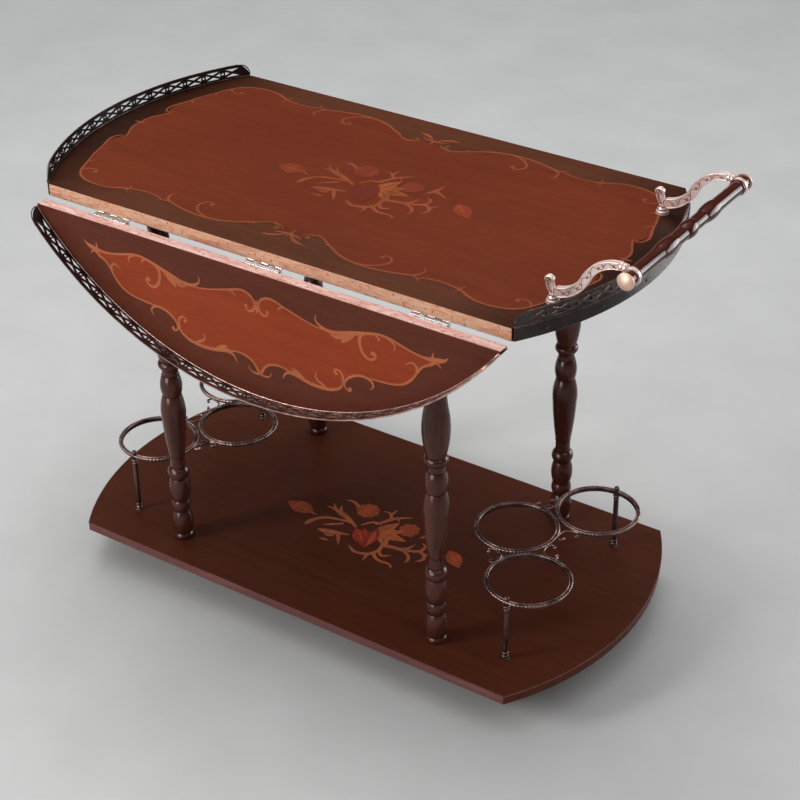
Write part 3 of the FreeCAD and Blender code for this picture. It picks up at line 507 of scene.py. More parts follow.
class Form:
    # Points and faces gathered into one piece

    smooth = True

    def __init__(self):
        self.points = []
        self.faces = []

    def add(self, points, faces):
        first = len(self.points)
        self.points.extend(points)
        self.faces.extend(tuple(first + i for i in face) for face in faces)

    def make(self, name, material, slot, body="trolley"):
        mesh = bpy.data.meshes.new(name)
        mesh.from_pydata(self.points, [], self.faces)
        mesh.polygons.foreach_set("use_smooth", [self.smooth] * len(mesh.polygons))
        mesh.materials.append(mat[material])
        mesh.update()
        piece = shown(name, mesh)
        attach(piece, body)


def flowing(points, steps):
    # A smooth line through drawn points; every number of a point is carried along
    ends = [points[0]] + list(points) + [points[-1]]
    line = []
    for a, b, c, d in zip(ends, ends[1:], ends[2:], ends[3:]):
        for i in range(steps):
            t = i / steps
            weights = (
                (-t + 2 * t ** 2 - t ** 3) / 2,
                (2 - 5 * t ** 2 + 3 * t ** 3) / 2,
                (t + 4 * t ** 2 - 3 * t ** 3) / 2,
                (t ** 3 - t ** 2) / 2,
            )
            line.append(tuple(sum(w * v for w, v in zip(weights, vs)) for vs in zip(a, b, c, d)))
    line.append(tuple(points[-1]))
    return line


class Inlay(Form):
    # Flat figures let into a board; place turns (u, v, lift) into a point of the row frame

    smooth = False

    def __init__(self, place, lift, swell=1.0):
        super().__init__()
        self.place = place
        self.lift = lift
        self.swell = swell
        self.out = place(0, 0, 1) - place(0, 0, 0)

    def lay(self, outline, faces):
        points = [self.place(u, v, self.lift) for u, v in outline]
        self.lift += figure_step
        turned = []
        for face in faces:
            a, b, c = (points[i] for i in face[:3])
            up = (b - a).cross(c - a).dot(self.out) >= 0
            turned.append(tuple(face) if up else tuple(reversed(face)))
        self.add(points, turned)

    def stroke(self, drawn, mirror=(1, 1)):
        line = flowing([(u * mirror[0], v * mirror[1], w) for u, v, w in drawn], stroke_steps)
        outline = []
        for i, (u, v, w) in enumerate(line):
            before = line[max(i - 1, 0)]
            after = line[min(i + 1, len(line) - 1)]
            along = Vector((after[0] - before[0], after[1] - before[1]))
            if along.length > 0:
                along.normalize()
            half = w * self.swell / 2
            outline.append((u - along.y * half, v + along.x * half))
            outline.append((u + along.y * half, v - along.x * half))
        self.lay(outline, [(2 * i, 2 * i + 1, 2 * i + 3, 2 * i + 2) for i in range(len(line) - 1)])

    def figure(self, outline):
        self.lay(outline, tessellate_polygon([[Vector((u, v, 0)) for u, v in outline]]))

    def disc(self, u, v, radius, mirror=(1, 1), scallops=0, depth=0.0):
        count = 48 if scallops else 20
        outline = []
        for i in range(count):
            angle = 2 * pi * i / count
            reach = radius * (1 - depth + depth * abs(cos(scallops * angle / 2)))
            outline.append((u * mirror[0] + reach * cos(angle), v * mirror[1] + reach * sin(angle)))
        self.figure(outline)

    def petal(self, u, v, length, width, degrees, point=0.8):
        turn = radians(degrees)
        count = 14
        edge = []
        for i in range(count + 1):
            share = i / count
            half = width / 2 * sin(pi * share ** point)
            edge.append((length * (share - 0.5), half))
        outline = edge + [(a, -b) for a, b in reversed(edge[1:-1])]
        self.figure([(u + a * cos(turn) - b * sin(turn),
                      v + a * sin(turn) + b * cos(turn)) for a, b in outline])

    def repeat(self, strokes, balls, mirrors):
        for mirror in mirrors:
            for drawn in strokes:
                self.stroke(drawn, mirror)
            for u, v, radius in balls:
                self.disc(u, v, radius, mirror)


def tube(form, path, radius, normal, sides=8, closed=False, lobes=0, turns=0, depth=0.0):
    # A round or roped bar along a flat path; normal is square to the path's plane
    count = len(path)
    points = []
    for i, here in enumerate(path):
        before = path[(i - 1) % count] if closed else path[max(i - 1, 0)]
        after = path[(i + 1) % count] if closed else path[min(i + 1, count - 1)]
        along = (after - before).normalized()
        side = along.cross(normal).normalized()
        for j in range(sides):
            angle = 2 * pi * j / sides
            swell = 1 + depth * cos(lobes * angle - 2 * pi * turns * i / count)
            reach = radius * MM * swell
            points.append(here + side * (reach * cos(angle)) + normal * (reach * sin(angle)))
    faces = []
    for i in range(count if closed else count - 1):
        a = i * sides
        b = (i + 1) % count * sides
        for j in range(sides):
            k = (j + 1) % sides
            faces.append((a + j, a + k, b + k, b + j))
    if not closed:
        faces.append(tuple(reversed(range(sides))))
        faces.append(tuple(range((count - 1) * sides, count * sides)))
    form.add(points, faces)


def ball(form, centre, radius):
    rings = 6
    around = 10
    points = []
    for i in range(rings + 1):
        lift = pi * i / rings - pi / 2
        for j in range(around):
            angle = 2 * pi * j / around
            out = Vector((cos(lift) * cos(angle), cos(lift) * sin(angle), sin(lift)))
            points.append(centre + out * (radius * MM))
    faces = []
    for i in range(rings):
        for j in range(around):
            k = (j + 1) % around
            faces.append((i * around + j, i * around + k, (i + 1) * around + k, (i + 1) * around + j))
    form.add(points, faces)


def circle(centre, radius, count, first=X_WAY, second=Y_WAY):
    return [centre + (first * cos(a) + second * sin(a)) * (radius * MM)
            for a in (2 * pi * i / count for i in range(count))]


def hoop(form, centre, radius, wire, count, sides=8, **rope):
    # A level ring of wire, plain or roped
    tube(form, circle(centre, radius, count), wire, Z_WAY, sides, True, **rope)


def run(stroke, first, stop, step=1):
    # Part of a stroke's line, for a field that ends along it
    return [(u, v) for u, v, _ in stroke[first:stop:step]]


# Scroll ornament of a leaf, right half: (across from the middle, down from the hinge edge, width)
leaf_strokes = [
    [(16.5, 47, 1.2), (14.5, 50.5, 1.6), (10, 52, 2), (5.5, 49.5, 2.2), (3, 44.5, 2.2), (3.8, 36.5, 2.2),
     (9.5, 30.3, 2.4), (19, 27.2, 2.4), (29, 28.4, 2), (40, 32, 1.8), (57.5, 37.2, 1.6), (72, 41, 1.4),
     (86, 43.5, 1.2), (98, 44.5, 0.6)],
    [(40, 32, 2), (34.5, 34, 1.8), (31.5, 37.5, 1), (31.8, 39.5, 0.4)],
    [(86.5, 27.5, 0.4), (84.3, 31, 1.3), (85.3, 36, 2), (90, 40.2, 2.6), (99, 43.2, 3), (111, 43.2, 3.6),
     (123.5, 40.2, 4), (136, 36.4, 4), (147, 32.9, 3.2), (160, 29.2, 2.6), (174, 26.6, 2.4),
     (188, 27.8, 2.2), (202, 31.6, 2), (216.5, 35.2, 2), (231, 37.2, 2.4), (243, 36.8, 4), (251, 35.4, 4.6),
     (257.5, 33.5, 3), (261.5, 30.5, 1.6), (263.5, 27.5, 0.4)],
    [(243, 36, 3), (243.5, 31.5, 1.8), (244.3, 27, 0.4)],
    [(248, 38, 3.4), (252, 41.5, 1.6), (254.5, 44.5, 0.4)],
    [(138, 37, 2.5), (131, 43, 5), (124, 49, 4.5), (120.5, 53.5, 0.5)],
    [(128, 40.5, 2.5), (119, 46, 4.2), (112, 48.5, 3), (104, 46.5, 0.5)],
    [(152, 31, 3.4), (147, 36, 3.2), (145.5, 43, 3), (146.5, 51, 2.9), (150.3, 58.5, 2.8), (156.5, 63, 2.6),
     (163.5, 61.8, 2.3), (167, 57, 2), (165.5, 52.8, 1.8), (162, 52.5, 1.4)],
    [(166, 28, 2), (172, 32.5, 1.6), (170, 36, 0.4)],
    [(183, 27.5, 2.4), (190, 31, 2), (193.5, 36, 1.6), (192.5, 41, 0.5)],
    [(249, 37, 3.2), (240, 44.2, 2.6), (232.5, 48.2, 2.2), (227, 53.4, 2.2), (221.8, 61.4, 2.2),
     (214.6, 71.8, 2.2), (205.7, 79.8, 2.1), (195, 84.4, 2), (182.5, 86.6, 1.8), (168, 88, 1.6),
     (155, 88.4, 1.2), (146, 88.6, 0.5)],
    [(222.5, 60, 2.6), (222, 53, 2.4), (217.5, 49.2, 2), (210, 52, 1.2), (207.5, 55, 0.4)],
    [(131.5, 114.5, 1.2), (127, 114, 1.7), (123.5, 110.5, 1.9), (123.2, 106, 2), (125, 101.5, 2.2),
     (130, 96.3, 2.3), (138, 91.3, 2.4), (147, 88.7, 2.5), (155.5, 89.3, 2.4), (161, 92.3, 2.2),
     (163.2, 97, 1.8), (161, 101, 1.2), (158.3, 103.5, 0.3)],
    [(110.5, 97.5, 1.4), (108.8, 95, 1.5), (110.5, 92, 1.6), (114.5, 91.2, 1.8), (118.5, 93.5, 2),
     (120.6, 98.5, 2.1), (121, 105, 2.2), (118.6, 112, 2.4), (113, 117, 2.6), (105.8, 120.5, 2.8),
     (96.8, 122.4, 3), (86, 123.3, 3.2), (75.4, 122.8, 3.2), (64.6, 121, 3.4), (54, 118.4, 3.6),
     (45, 118, 3), (39.5, 120, 2.2), (35.8, 124.5, 1.6), (33.5, 130, 0.3)],
    [(66, 121, 2.5), (58.5, 116, 3.8), (52.5, 112.5, 3), (46.5, 110.5, 0.4)],
    [(58, 119, 2.5), (51, 115.5, 2.6), (44.5, 114.8, 0.4)],
    [(97, 122, 2), (91, 118, 2.6), (85, 114.8, 2.4), (81.8, 110.8, 1.8), (82.5, 106.5, 1.2),
     (84.5, 103.5, 0.3)],
    [(47, 117.6, 2), (38, 114.8, 1.8), (30, 113.8, 1.8), (20, 115, 2), (12, 118.6, 2.2), (6.6, 124, 2.4),
     (3, 130, 2.6), (-1, 134, 2.4), (-7, 135, 2), (-13, 133.6, 1.5), (-16.3, 129.8, 1),
     (-15.5, 126.5, 0.4)],
]
leaf_middle = [(0, 34, 0.4), (0, 38, 2.6), (0, 43, 3.4), (0, 48, 2.4), (0, 52, 0.4)]
leaf_balls = [(15.5, 46, 2.2), (163, 54.5, 2.6), (130.5, 111.8, 2.8), (111, 96.6, 2.2)]
# The field ends along the scrolls
leaf_field = [
    (0, 40), *run(leaf_strokes[0], 5, 13), *run(leaf_strokes[2], 4, 15), (243, 37.5), (249, 37.5),
    *run(leaf_strokes[10], 1, 10), (155.5, 89), *run(leaf_strokes[12], 7, 3, -1), (121.5, 107),
    *run(leaf_strokes[13], 7, 15), *run(leaf_strokes[17], 0, 6), (0, 130),
]

# Border of the top, near right quarter: (along from the middle, out from the middle line, width)
top_strokes = [
    [(13, 151, 0.5), (15.5, 147.5, 1.4), (18, 145, 1.9), (23, 142.5, 2.2), (33, 140.6, 2.4), (43, 145, 2.4),
     (52, 151.3, 2.6), (60.5, 156.3, 3), (70.5, 162.3, 3.4), (80.5, 167.3, 3.4), (93, 171.6, 3.2),
     (108, 173.8, 3), (123, 174.3, 2.8), (138, 172.8, 2.8), (153, 169.8, 3), (168, 165.6, 3.4),
     (177, 162.5, 3.6), (182, 157, 3.2), (184, 150, 2.6), (183, 144, 1.8), (178.5, 140.5, 0.4)],
    [(33, 141, 2), (26, 144, 1.8), (21, 148.5, 1.6), (22, 152.5, 1.2), (26, 152, 0.5)],
    [(0, 150, 0.8), (2.5, 155, 2.6), (7, 160.5, 3.6), (14, 165.5, 5), (22, 168.6, 4.2), (31, 169.8, 0.5)],
    [(2, 154, 2), (9, 155.5, 3), (16, 157.5, 2.2), (20, 160.5, 0.4)],
    [(52, 151.3, 2.4), (53.5, 154.5, 2), (52, 158, 0.4)],
    [(104, 173.5, 2.2), (116, 171.5, 2.6), (127, 166.5, 2.8), (135, 159.5, 3), (138.8, 151.5, 3),
     (136.8, 144, 2.6), (131, 139.5, 2.2), (124.5, 140.5, 1.8), (122, 145, 1.4)],
    [(176, 163.5, 2.6), (183, 164.5, 2.4), (188.5, 168, 1.6), (191, 172.5, 0.4)],
    [(186, 165.5, 0.6), (191, 162.5, 2.2), (199, 160, 2.4), (210.5, 158.7, 2.2), (223, 159.3, 2.2),
     (235.5, 161.2, 2.6), (245, 164.6, 3.2), (255, 169.8, 3.2), (266, 173.8, 2.8), (279, 175.3, 2.6),
     (294, 174.3, 2.6), (307, 170.5, 2.8), (318, 163.5, 2.8), (326, 153, 2.8), (331.5, 141, 2.6),
     (336, 129, 2.4), (341, 117, 2.2), (345.5, 105, 2.2), (349, 92, 2.4), (352.5, 80, 2.8), (357, 68, 3),
     (358.5, 56, 2.6), (354.5, 47, 2), (349.5, 46.5, 1.2), (348.5, 51, 0.5)],
    [(238, 161.5, 2.2), (241, 157, 1.8), (243, 152.5, 0.4)],
    [(240, 163, 2.2), (238.5, 168, 1.6), (236.5, 172, 0.4)],
    [(326, 152, 2.6), (321, 146, 2.4), (313, 143, 2), (306, 146, 1.6), (304.5, 151, 1.2)],
    [(343, 52, 0.4), (346.5, 42, 1.8), (351, 33, 2.2), (356.5, 22, 2.4), (359.5, 11, 2.6), (358, 0, 2.8)],
    [(336, 129, 2.2), (331, 124, 1.8), (329, 118, 0.4)],
    [(349, 92, 2.2), (343, 88, 1.8), (340, 82, 0.4)],
]
top_side_middle = [(0, 140, 0.4), (0, 146, 2), (0, 152, 3), (0, 158, 2), (0, 163, 0.4)]
top_end_middle = [(352, 0, 0.5), (358, 0, 2.8), (364, 0, 2.8), (369, 0, 0.4)]
top_balls = [(24, 150.5, 2), (124.5, 144.3, 2.8), (307, 149.5, 2.4)]
top_field = [
    (0, 150), (8, 147.5), *run(top_strokes[0], 2, 16), (178, 163.5), (188, 163.5),
    *run(top_strokes[7], 2, 20), (355.5, 68), (354, 56), (350, 46), *run(top_strokes[11], 2, 4),
    (359, 11), (358.5, 0),
]

# Flower spray of the shelf and the top, about its own middle, v towards the far side
spray_strokes = [
    [(-21, -4, 2.4), (-40, 6, 4.6), (-57, 12, 5.6), (-71, 16, 3.4), (-84, 15, 0.5)],
    [(-57, 12, 3.4), (-63, 20, 2.8), (-67, 28, 0.5)],
    [(-68, 15, 2.8), (-74, 21, 2.4), (-79, 27, 0.5)],
    [(-30, 1, 1.8), (-43, 0, 2.8), (-66, -6, 3.8), (-78, -16, 4), (-83, -28, 5), (-84, -37, 0.5)],
    [(-40, -6, 1.8), (-51, -15, 3.2), (-64, -24, 0.5)],
    [(-19, -24, 1.8), (-30, -27, 3.6), (-42, -31, 6.2), (-54, -34, 5.6), (-63, -36, 0.8)],
    [(-32, -31, 3.8), (-26, -39, 3.4), (-19, -50, 0.8)],
    [(-36, -36, 2.8), (-43, -40, 2.6), (-50, -39, 0.6)],
    [(-50, -52, 0.6), (-42, -50, 2.8), (-34, -50, 0.6)],
    [(-6, -43, 0.8), (2, -48, 2.8), (10, -51, 3.4), (20, -49, 3.4), (29, -44, 3.8), (34, -34, 3.6),
     (34, -24, 3.8), (29, -12, 2.8)],
    [(27, -46, 3.8), (28, -53, 2.8), (29, -61, 0.8)],
    [(34, -42, 3.4), (42, -48, 3.2), (52, -50, 3), (62, -49, 2.8), (68, -52, 2.2), (71, -56, 0.6)],
    [(37, -32, 2.8), (42, -38, 3), (48, -38, 2.8), (55, -31, 0.8)],
    [(36, -18, 4.6), (48, -15, 4.2), (59, -13, 4.4), (66, -5, 3.2), (69, 6, 0.8)],
    [(59, -13, 3.8), (68, -16, 3), (75, -20, 3), (80, -28, 2.8), (79, -36, 0.8)],
    [(60, -13, 3.8), (73, -9, 3.6), (82, -3, 3.6), (84, 5, 3), (81, 15, 0.8)],
    [(80, -4, 3.6), (90, -6, 3.2), (96, -14, 3.2), (94, -21, 2.4), (90, -25, 0.8)],
    [(92, -9, 2.6), (96, -4, 2.4), (99, 3, 0.6)],
    [(85, 8, 2.4), (80, 12, 2), (75, 14, 0.6)],
    [(-3, 16, 2.8), (4, 26, 3.6), (10, 37, 3.8), (20, 48, 3), (33, 56, 0.6)],
    [(9, 38, 3.2), (3, 46, 2.8), (-3, 49, 2), (-10, 47, 0.6)],
    [(3, 47, 2.4), (4, 53, 2), (4, 60, 0.6)],
    [(16, 45, 2.4), (19, 42, 2), (21, 37, 0.8)],
    [(-18, 4, 1.6), (-8, 18, 2.4), (6, 20, 1.8)],
    [(-44, 37, 3.6), (-58, 44, 3.4), (-69, 42, 0.8)],
    [(66, 21, 0.8), (72, 32, 4.6), (75, 43, 3.4), (75, 53, 0.6)],
    [(73, 35, 4), (85, 30, 3.2), (97, 23, 0.6)],
    [(-97, -7, 3), (-90, -9, 2), (-82, -9, 0.6)],
]

# Flowers of a spray: piece, wood, height over the board, rounds as (u, v, radius, scallops, depth of a
# scallop) and petals as (u, v, length, width, turn in degrees, point)
flower_layers = [
    ("_round_flowers", "petal_orange", 0.36, [(-29, 37, 17, 9, 0.16), (44, 29, 15.5, 8, 0.16)],
     [(-114, -6, 46, 26, 176, 0.9)]),
    ("_bud", "bud", 0.36, [], [(131, 7, 42, 22, -40, 0.9)]),
    ("_gold_flower", "gold", 0.42, [(19, 7, 15, 5, 0.14)],
     [(32, 4, 48, 16, 3), (17, 18, 40, 16, 68), (27, -8, 38, 15, -46), (29, 14, 32, 11, 34),
      (-112, -6, 30, 2.4, 176), (128, 9, 26, 2.4, -40)]),
    ("_red_petals", "petal_red", 0.48, [],
     [(-2, -21, 48, 20, 141, 1.15), (11, -13, 48, 18, 101, 1.15), (3, -19, 46, 18, 122, 1)]),
    ("_petal_lights", "petal_light", 0.56, [], [(12, -15, 38, 8, 104, 1.1), (-3, -19, 26, 2, 134)]),
    ("_gold_folds", "petal_orange", 0.56, [],
     [(31, 4, 28, 2.2, 3), (18, 18, 22, 2.2, 68), (27, -8, 20, 2, -46)]),
]


def doubled(half):
    # Both halves of a figure whose ends lie on the mirror line
    return list(half) + [(-u, v) for u, v in reversed(half) if u > 0]


def leaf_inlay(side, way):
    # side names the leaf; way is -1 at the front and 1 at the rear
    def place(u, v, lift):
        return at(-way * (u + leaf_shift), way * (leaf_face + lift), leaf_edge - v)

    body = side + "_leaf"
    ground = Inlay(place, field_lift)
    ground.figure(doubled(flowing(leaf_field, outline_steps)))
    ground.make(body + "_field", "leaf_field", "leaf_veneer", body)
    scrolls = Inlay(place, scroll_lift, leaf_swell)
    scrolls.stroke(leaf_middle)
    scrolls.repeat(leaf_strokes, leaf_balls, ((1, 1), (-1, 1)))
    scrolls.make(body + "_scrolls", "scroll", "leaf_veneer", body)


def top_inlay():
    def place(u, v, lift):
        return at(u, v, panel_top + lift)

    quarter = flowing(top_field, outline_steps)
    half = [(u, -v) for u, v in quarter] + list(reversed(quarter[:-1]))
    ground = Inlay(place, field_lift)
    ground.figure(doubled(half))
    ground.make("top_field", "top_field", "top_panel_veneer")
    scrolls = Inlay(place, scroll_lift, top_swell)
    for way in (-1, 1):
        scrolls.stroke(top_side_middle, (1, way))
        scrolls.stroke(top_end_middle, (way, 1))
    scrolls.repeat(top_strokes, top_balls, ((1, 1), (-1, 1), (1, -1), (-1, -1)))
    scrolls.make("top_scrolls", "top_scroll", "top_panel_veneer")


def bouquet(name, x, y, level, slot, swell, soft):
    # soft is what the names of this spray's woods end with; the shelf's woods, which have no ending, are the
    # same woods painted brighter against the shade under the top
    def place(u, v, lift):
        return at(x + u, y + v, level + lift)

    stems = Inlay(place, spray_lift, swell)
    for drawn in spray_strokes:
        stems.stroke(drawn)
    stems.make(name + "_sprays", "spray" + soft, slot)
    for layer, tone, lift, rounds, petals in flower_layers:
        flowers = Inlay(place, lift)
        for u, v, radius, scallops, depth in rounds:
            flowers.disc(u, v, radius, scallops=scallops, depth=depth)
        for petal in petals:
            flowers.petal(*petal)
        flowers.make(name + layer, tone + soft, slot)


def facing(name, material, slot, body, way, low, high):
    # A thin facing on a straight board edge, split along its length; low and high are its borders as (y, z)
    form = Form()
    form.smooth = False
    reach = way * (half_length - facing_corner)
    count = 24
    points = []
    for i in range(count + 1):
        for y, z in (low, high):
            points.append(at(reach, y, z).lerp(at(-reach, y, z), i / count))
    form.add(points, [(2 * i, 2 * i + 2, 2 * i + 3, 2 * i + 1) for i in range(count)])
    form.make(name, material, slot, body)


def raw_edges():
    for side, way in FRONT_REAR:
        y = way * (half_width + facing_proud)
        z = leaf_edge + facing_proud
        facing(side + "_panel_raw_edge", "panel_edge", "top_panel_veneer", "trolley", way,
               (y, panel_bottom + facing_inset), (y, panel_top - facing_inset))
        facing(side + "_leaf_raw_edge", "leaf_edge", "leaf_veneer", side + "_leaf", way,
               (way * (leaf_face - leaf_round), z), (way * (leaf_inner_face + facing_inset), z))
        facing(side + "_shelf_edge", "shelf_edge", "shelf_veneer", "trolley", way,
               (y, shelf_bottom + facing_inset), (y, shelf_top - facing_inset))


def shelf_arris():
    # The pale worn arris along the shelf's bowed ends and its long edges
    form = Form()
    radius = bow_radius(half_width, end_bow)
    corner = asin(half_width / radius)
    centre = half_length + end_bow - radius
    z = shelf_top - arris_drop
    count = 80
    for way in (-1, 1):
        turns = [corner * (2 * i / count - 1) for i in range(count + 1)]
        line = [at(way * (centre + radius * cos(a)), radius * sin(a), z) for a in turns]
        tube(form, line, arris_radius, Z_WAY, thin_sides)
        edge = [at(x, way * (half_width - arris_inset), z) for x in (-half_length, half_length)]
        tube(form, edge, arris_radius, Z_WAY, thin_sides)
    form.make("shelf_arris", "shelf_edge", "shelf_veneer")


class Strip:
    # The arc that a gallery strip follows, with its crown on +X about the edge's own centre

    def __init__(self, half_chord, bow, last_gap, centre_of):
        self.radius = bow_radius(half_chord, bow)
        corner = asin(half_chord / self.radius)
        self.first = strip_end_gap / self.radius - corner
        self.last = corner - last_gap / self.radius
        self.centre_of = centre_of
        self.outer = self.radius + gallery_inset + gallery_thickness

    def point(self, reach, angle, height):
        return self.centre_of(reach * cos(angle), reach * sin(angle), height)

    def line(self, reach, height, trim=0.0, count=96):
        first = self.first + trim / self.radius
        last = self.last - trim / self.radius
        return [self.point(reach, first + (last - first) * i / count, height) for i in range(count + 1)]

    def rounded_end(self, reach, low, high, at_last, count=10):
        # Quarter round from the strip's end up to its rim
        size = high - low
        line = []
        for i in range(count + 1):
            turn = pi / 2 * i / count
            back = size * (1 - cos(turn)) / self.radius
            angle = self.last - back if at_last else self.first + back
            line.append(self.point(reach, angle, low + size * sin(turn)))
        return line


def end_point(way):
    def point(a, b, height):
        centre = half_length + end_bow - bow_radius(half_width, end_bow)
        return at(way * (centre + a), way * b, panel_bottom + height)
    return point


def leaf_point(way):
    # A raised leaf's point swung down about the hinge line; way is -1 at the front
    def point(a, b, height):
        centre = leaf_edge_y + leaf_depth - bow_radius(half_length, leaf_depth)
        y = centre + a
        z = panel_bottom + height
        return at(-way * b, way * (hinge_y + (z - hinge_z)), hinge_z - (y - hinge_y))
    return point


def strip_trim(name, strip, body, normal, metal):
    top = top_thickness + gallery_rise
    front = strip.outer + trim_proud
    back = strip.outer - gallery_thickness - trim_proud
    rim = Form()
    bead = strip.line(strip.outer - rim_bead_in, top - rim_bead_drop, gallery_rise * rim_bead_trim)
    tube(rim, bead, rim_bead, normal)
    tube(rim, strip.line(front, top - rim_height, gallery_rise * rim_line_trim), rim_line, normal, thin_sides)
    for at_last in (False, True):
        end = strip.rounded_end(front, top_thickness + bead_height, top - rim_height / 2, at_last)
        out = strip.point(1, strip.last if at_last else strip.first, 0) - strip.point(0, 0, 0)
        tube(rim, end, end_bead, out, thin_sides)
    rim.make(name + "_rim_bead", metal, "gallery_bronze", body)
    low = Form()
    tube(low, strip.line(front, top_thickness + bead_height / 2), lower_bead, normal)
    tube(low, strip.line(back, top_thickness + inner_bead_lift), inner_bead, normal, thin_sides)
    low.make(name + "_lower_bead", metal, "gallery_bronze", body)
    reeds = Form()
    for i in range(reed_count):
        height = reed_margin + i * (top_thickness - 2 * reed_margin) / (reed_count - 1)
        tube(reeds, strip.line(strip.outer, height), reed_radius, normal, thin_sides)
    reeds.make(name + "_reeding", "gallery_bronze", "gallery_bronze", body)


def galleries():
    for side, way, gap in (("right", 1, handle_strip_gap), ("left", -1, strip_end_gap)):
        strip = Strip(half_width, end_bow, gap, end_point(way))
        strip_trim("end_gallery_" + side, strip, "trolley", Z_WAY, "end_rim")
    for side, way in FRONT_REAR:
        strip = Strip(half_length, leaf_depth, strip_end_gap, leaf_point(way))
        strip_trim(side + "_leaf_gallery", strip, side + "_leaf", Y_WAY, "rim")


def ring_centres(way):
    return {
        "front": Vector((way * ring_outer_x, -ring_spread, 0)),
        "middle": Vector((way * ring_middle_x, 0, 0)),
        "rear": Vector((way * ring_outer_x, ring_spread, 0)),
    }


def ring_trim():
    for side, way in LEFT_RIGHT:
        for name, c in ring_centres(way).items():
            label = "bottle_ring_" + side + "_" + name
            rope = Form()
            hoop(rope, at(c.x, c.y, ring_high - rope_drop), ring_radius - rope_inset, rope_radius,
                 count=480, sides=10, lobes=2, turns=rope_turns, depth=rope_depth)
            rope.make(label + "_rope", "rope", "ring_bronze")
            rim = Form()
            hoop(rim, at(c.x, c.y, ring_high), ring_radius - ring_width + ring_rim, ring_rim, count=96)
            rim.make(label + "_inner_rim", "rope", "ring_bronze")


def ring_scrolls():
    # Curled scrolls with ball ends that bridge two rings on both sides of where they meet
    line = flowing(tie_half + [tie_middle] + [(-a, b) for a, b in reversed(tie_half)], tie_steps)
    for side, way in LEFT_RIGHT:
        form = Form()
        centres = ring_centres(way)
        for name in ("front", "rear"):
            outer, middle = centres[name], centres["middle"]
            mid = (outer + middle) / 2
            along = (middle - outer).normalized()
            across = Z_WAY.cross(along)
            for turn in (-1, 1):
                path = []
                for a, b in line:
                    flat = mid + along * a + across * (turn * b)
                    path.append(at(flat.x, flat.y, (ring_low + ring_high) / 2))
                tube(form, path, tie_wire, Z_WAY)
                ball(form, path[-1], tie_ball)
                ball(form, path[0], tie_ball)
        form.make("ring_scrolls_" + side, "rope", "ring_bronze")


def post_beads():
    form = Form()
    for way in (-1, 1):
        for c in (ring_centres(way)["front"], ring_centres(way)["rear"]):
            y = c.y + copysign(ring_radius - ring_width / 2, c.y)
            for z, swell, bead in post_bead_rows:
                hoop(form, at(c.x, y, z), post_radius + swell, bead, count=28)
    form.make("ring_post_beads", "rope", "ring_bronze")


def groove_shade_lines():
    # Painted shade: dark rings laid in the grooves of the turned legs
    form = Form()
    for x in (-leg_x, leg_x):
        for y in (-leg_y, leg_y):
            for up, out in leg_grooves:
                spot = at(x, y, shelf_top + up * leg_length)
                hoop(form, spot, out * leg_radius, groove_shade_line, count=32, sides=thin_sides)
    form.make("leg_groove_painted_shade", "leg_groove_shade", "turned_wood")


def arm_line(count=24):
    # Middle line of a bracket's arm as ((along, up), (normal along, normal up)), foot to ring
    start = Vector((0, arm_lift))
    bend = Vector((bracket_reach * bend_along, bracket_rise * bend_up))
    drop = bend - start
    low_radius = drop.length_squared / (2 * drop.y)
    low_centre = start + Vector((0, low_radius))
    inward = (bend - low_centre).normalized()
    collar = radians(collar_angle)
    ring = (socket_radius + tenon_radius) / 2
    meet = Vector((bracket_reach, bracket_rise)) + Vector((cos(collar), sin(collar))) * ring
    span = meet - bend
    high_radius = span.length_squared / (2 * span.dot(inward))
    high_centre = bend + inward * high_radius
    line = []
    low_turn = atan2(drop.x, low_radius - drop.y)
    for i in range(count):
        a = low_turn * i / count
        way = Vector((sin(a), -cos(a)))
        line.append((low_centre + way * low_radius, -way))
    first = bend - high_centre
    last = meet - high_centre
    turn = first.angle_signed(last)
    for i in range(count + 1):
        a = atan2(first.y, first.x) - turn * i / count
        way = Vector((cos(a), sin(a)))
        line.append((high_centre + way * abs(high_radius), way))
    return line


class Arm:
    # One side face of a bracket's arm: spot(s, t) lies s mm along and t half heights off the middle line

    def __init__(self, way, face):
        self.line = arm_line()
        self.steps = [0.0]
        for (a, _), (b, _) in zip(self.line, self.line[1:]):
            self.steps.append(self.steps[-1] + (b - a).length)
        self.length = self.steps[-1]
        self.y = way * bracket_y + face * arm_thickness / 2
        self.face = face

    def half_height(self, s):
        return (arm_start_height + (arm_end_height - arm_start_height) * s / self.length) / 2

    def spot(self, s, t, lift):
        s = min(max(s, 0.0), self.length)
        i = 0
        while i < len(self.steps) - 2 and self.steps[i + 1] < s:
            i += 1
        share = (s - self.steps[i]) / (self.steps[i + 1] - self.steps[i])
        point = self.line[i][0].lerp(self.line[i + 1][0], share)
        normal = self.line[i][1].lerp(self.line[i + 1][1], share).normalized()
        flat = point + normal * (t * self.half_height(s))
        return at(bracket_x + flat.x, self.y + self.face * lift, panel_top + flat.y)


def running_scroll(arm, first, last):
    # Lines of a running scroll along the arm: a wave with a spiral curled into each of its hollows
    cells = 9
    steps = 10
    spiral_steps = 18
    cell = (last - first) / cells
    wave = []
    for i in range(cells * steps + 1):
        wave.append((first + cell * i / steps, wave_height * cos(pi * i / steps)))
    lines = [wave]
    for k in range(cells):
        side = 1 if k % 2 else -1
        middle = first + cell * (k + 0.5)
        spiral = []
        for i in range(spiral_steps + 1):
            turn = radians(spiral_turn * i)
            reach = spiral_reach * (1 - spiral_close * i / spiral_steps)
            along = reach * arm.half_height(middle) * cos(turn) * spiral_stretch
            s = middle - cell * spiral_shift * side + along
            spiral.append((s, side * (spiral_rise - reach * sin(turn))))
        lines.append(spiral)
    return lines


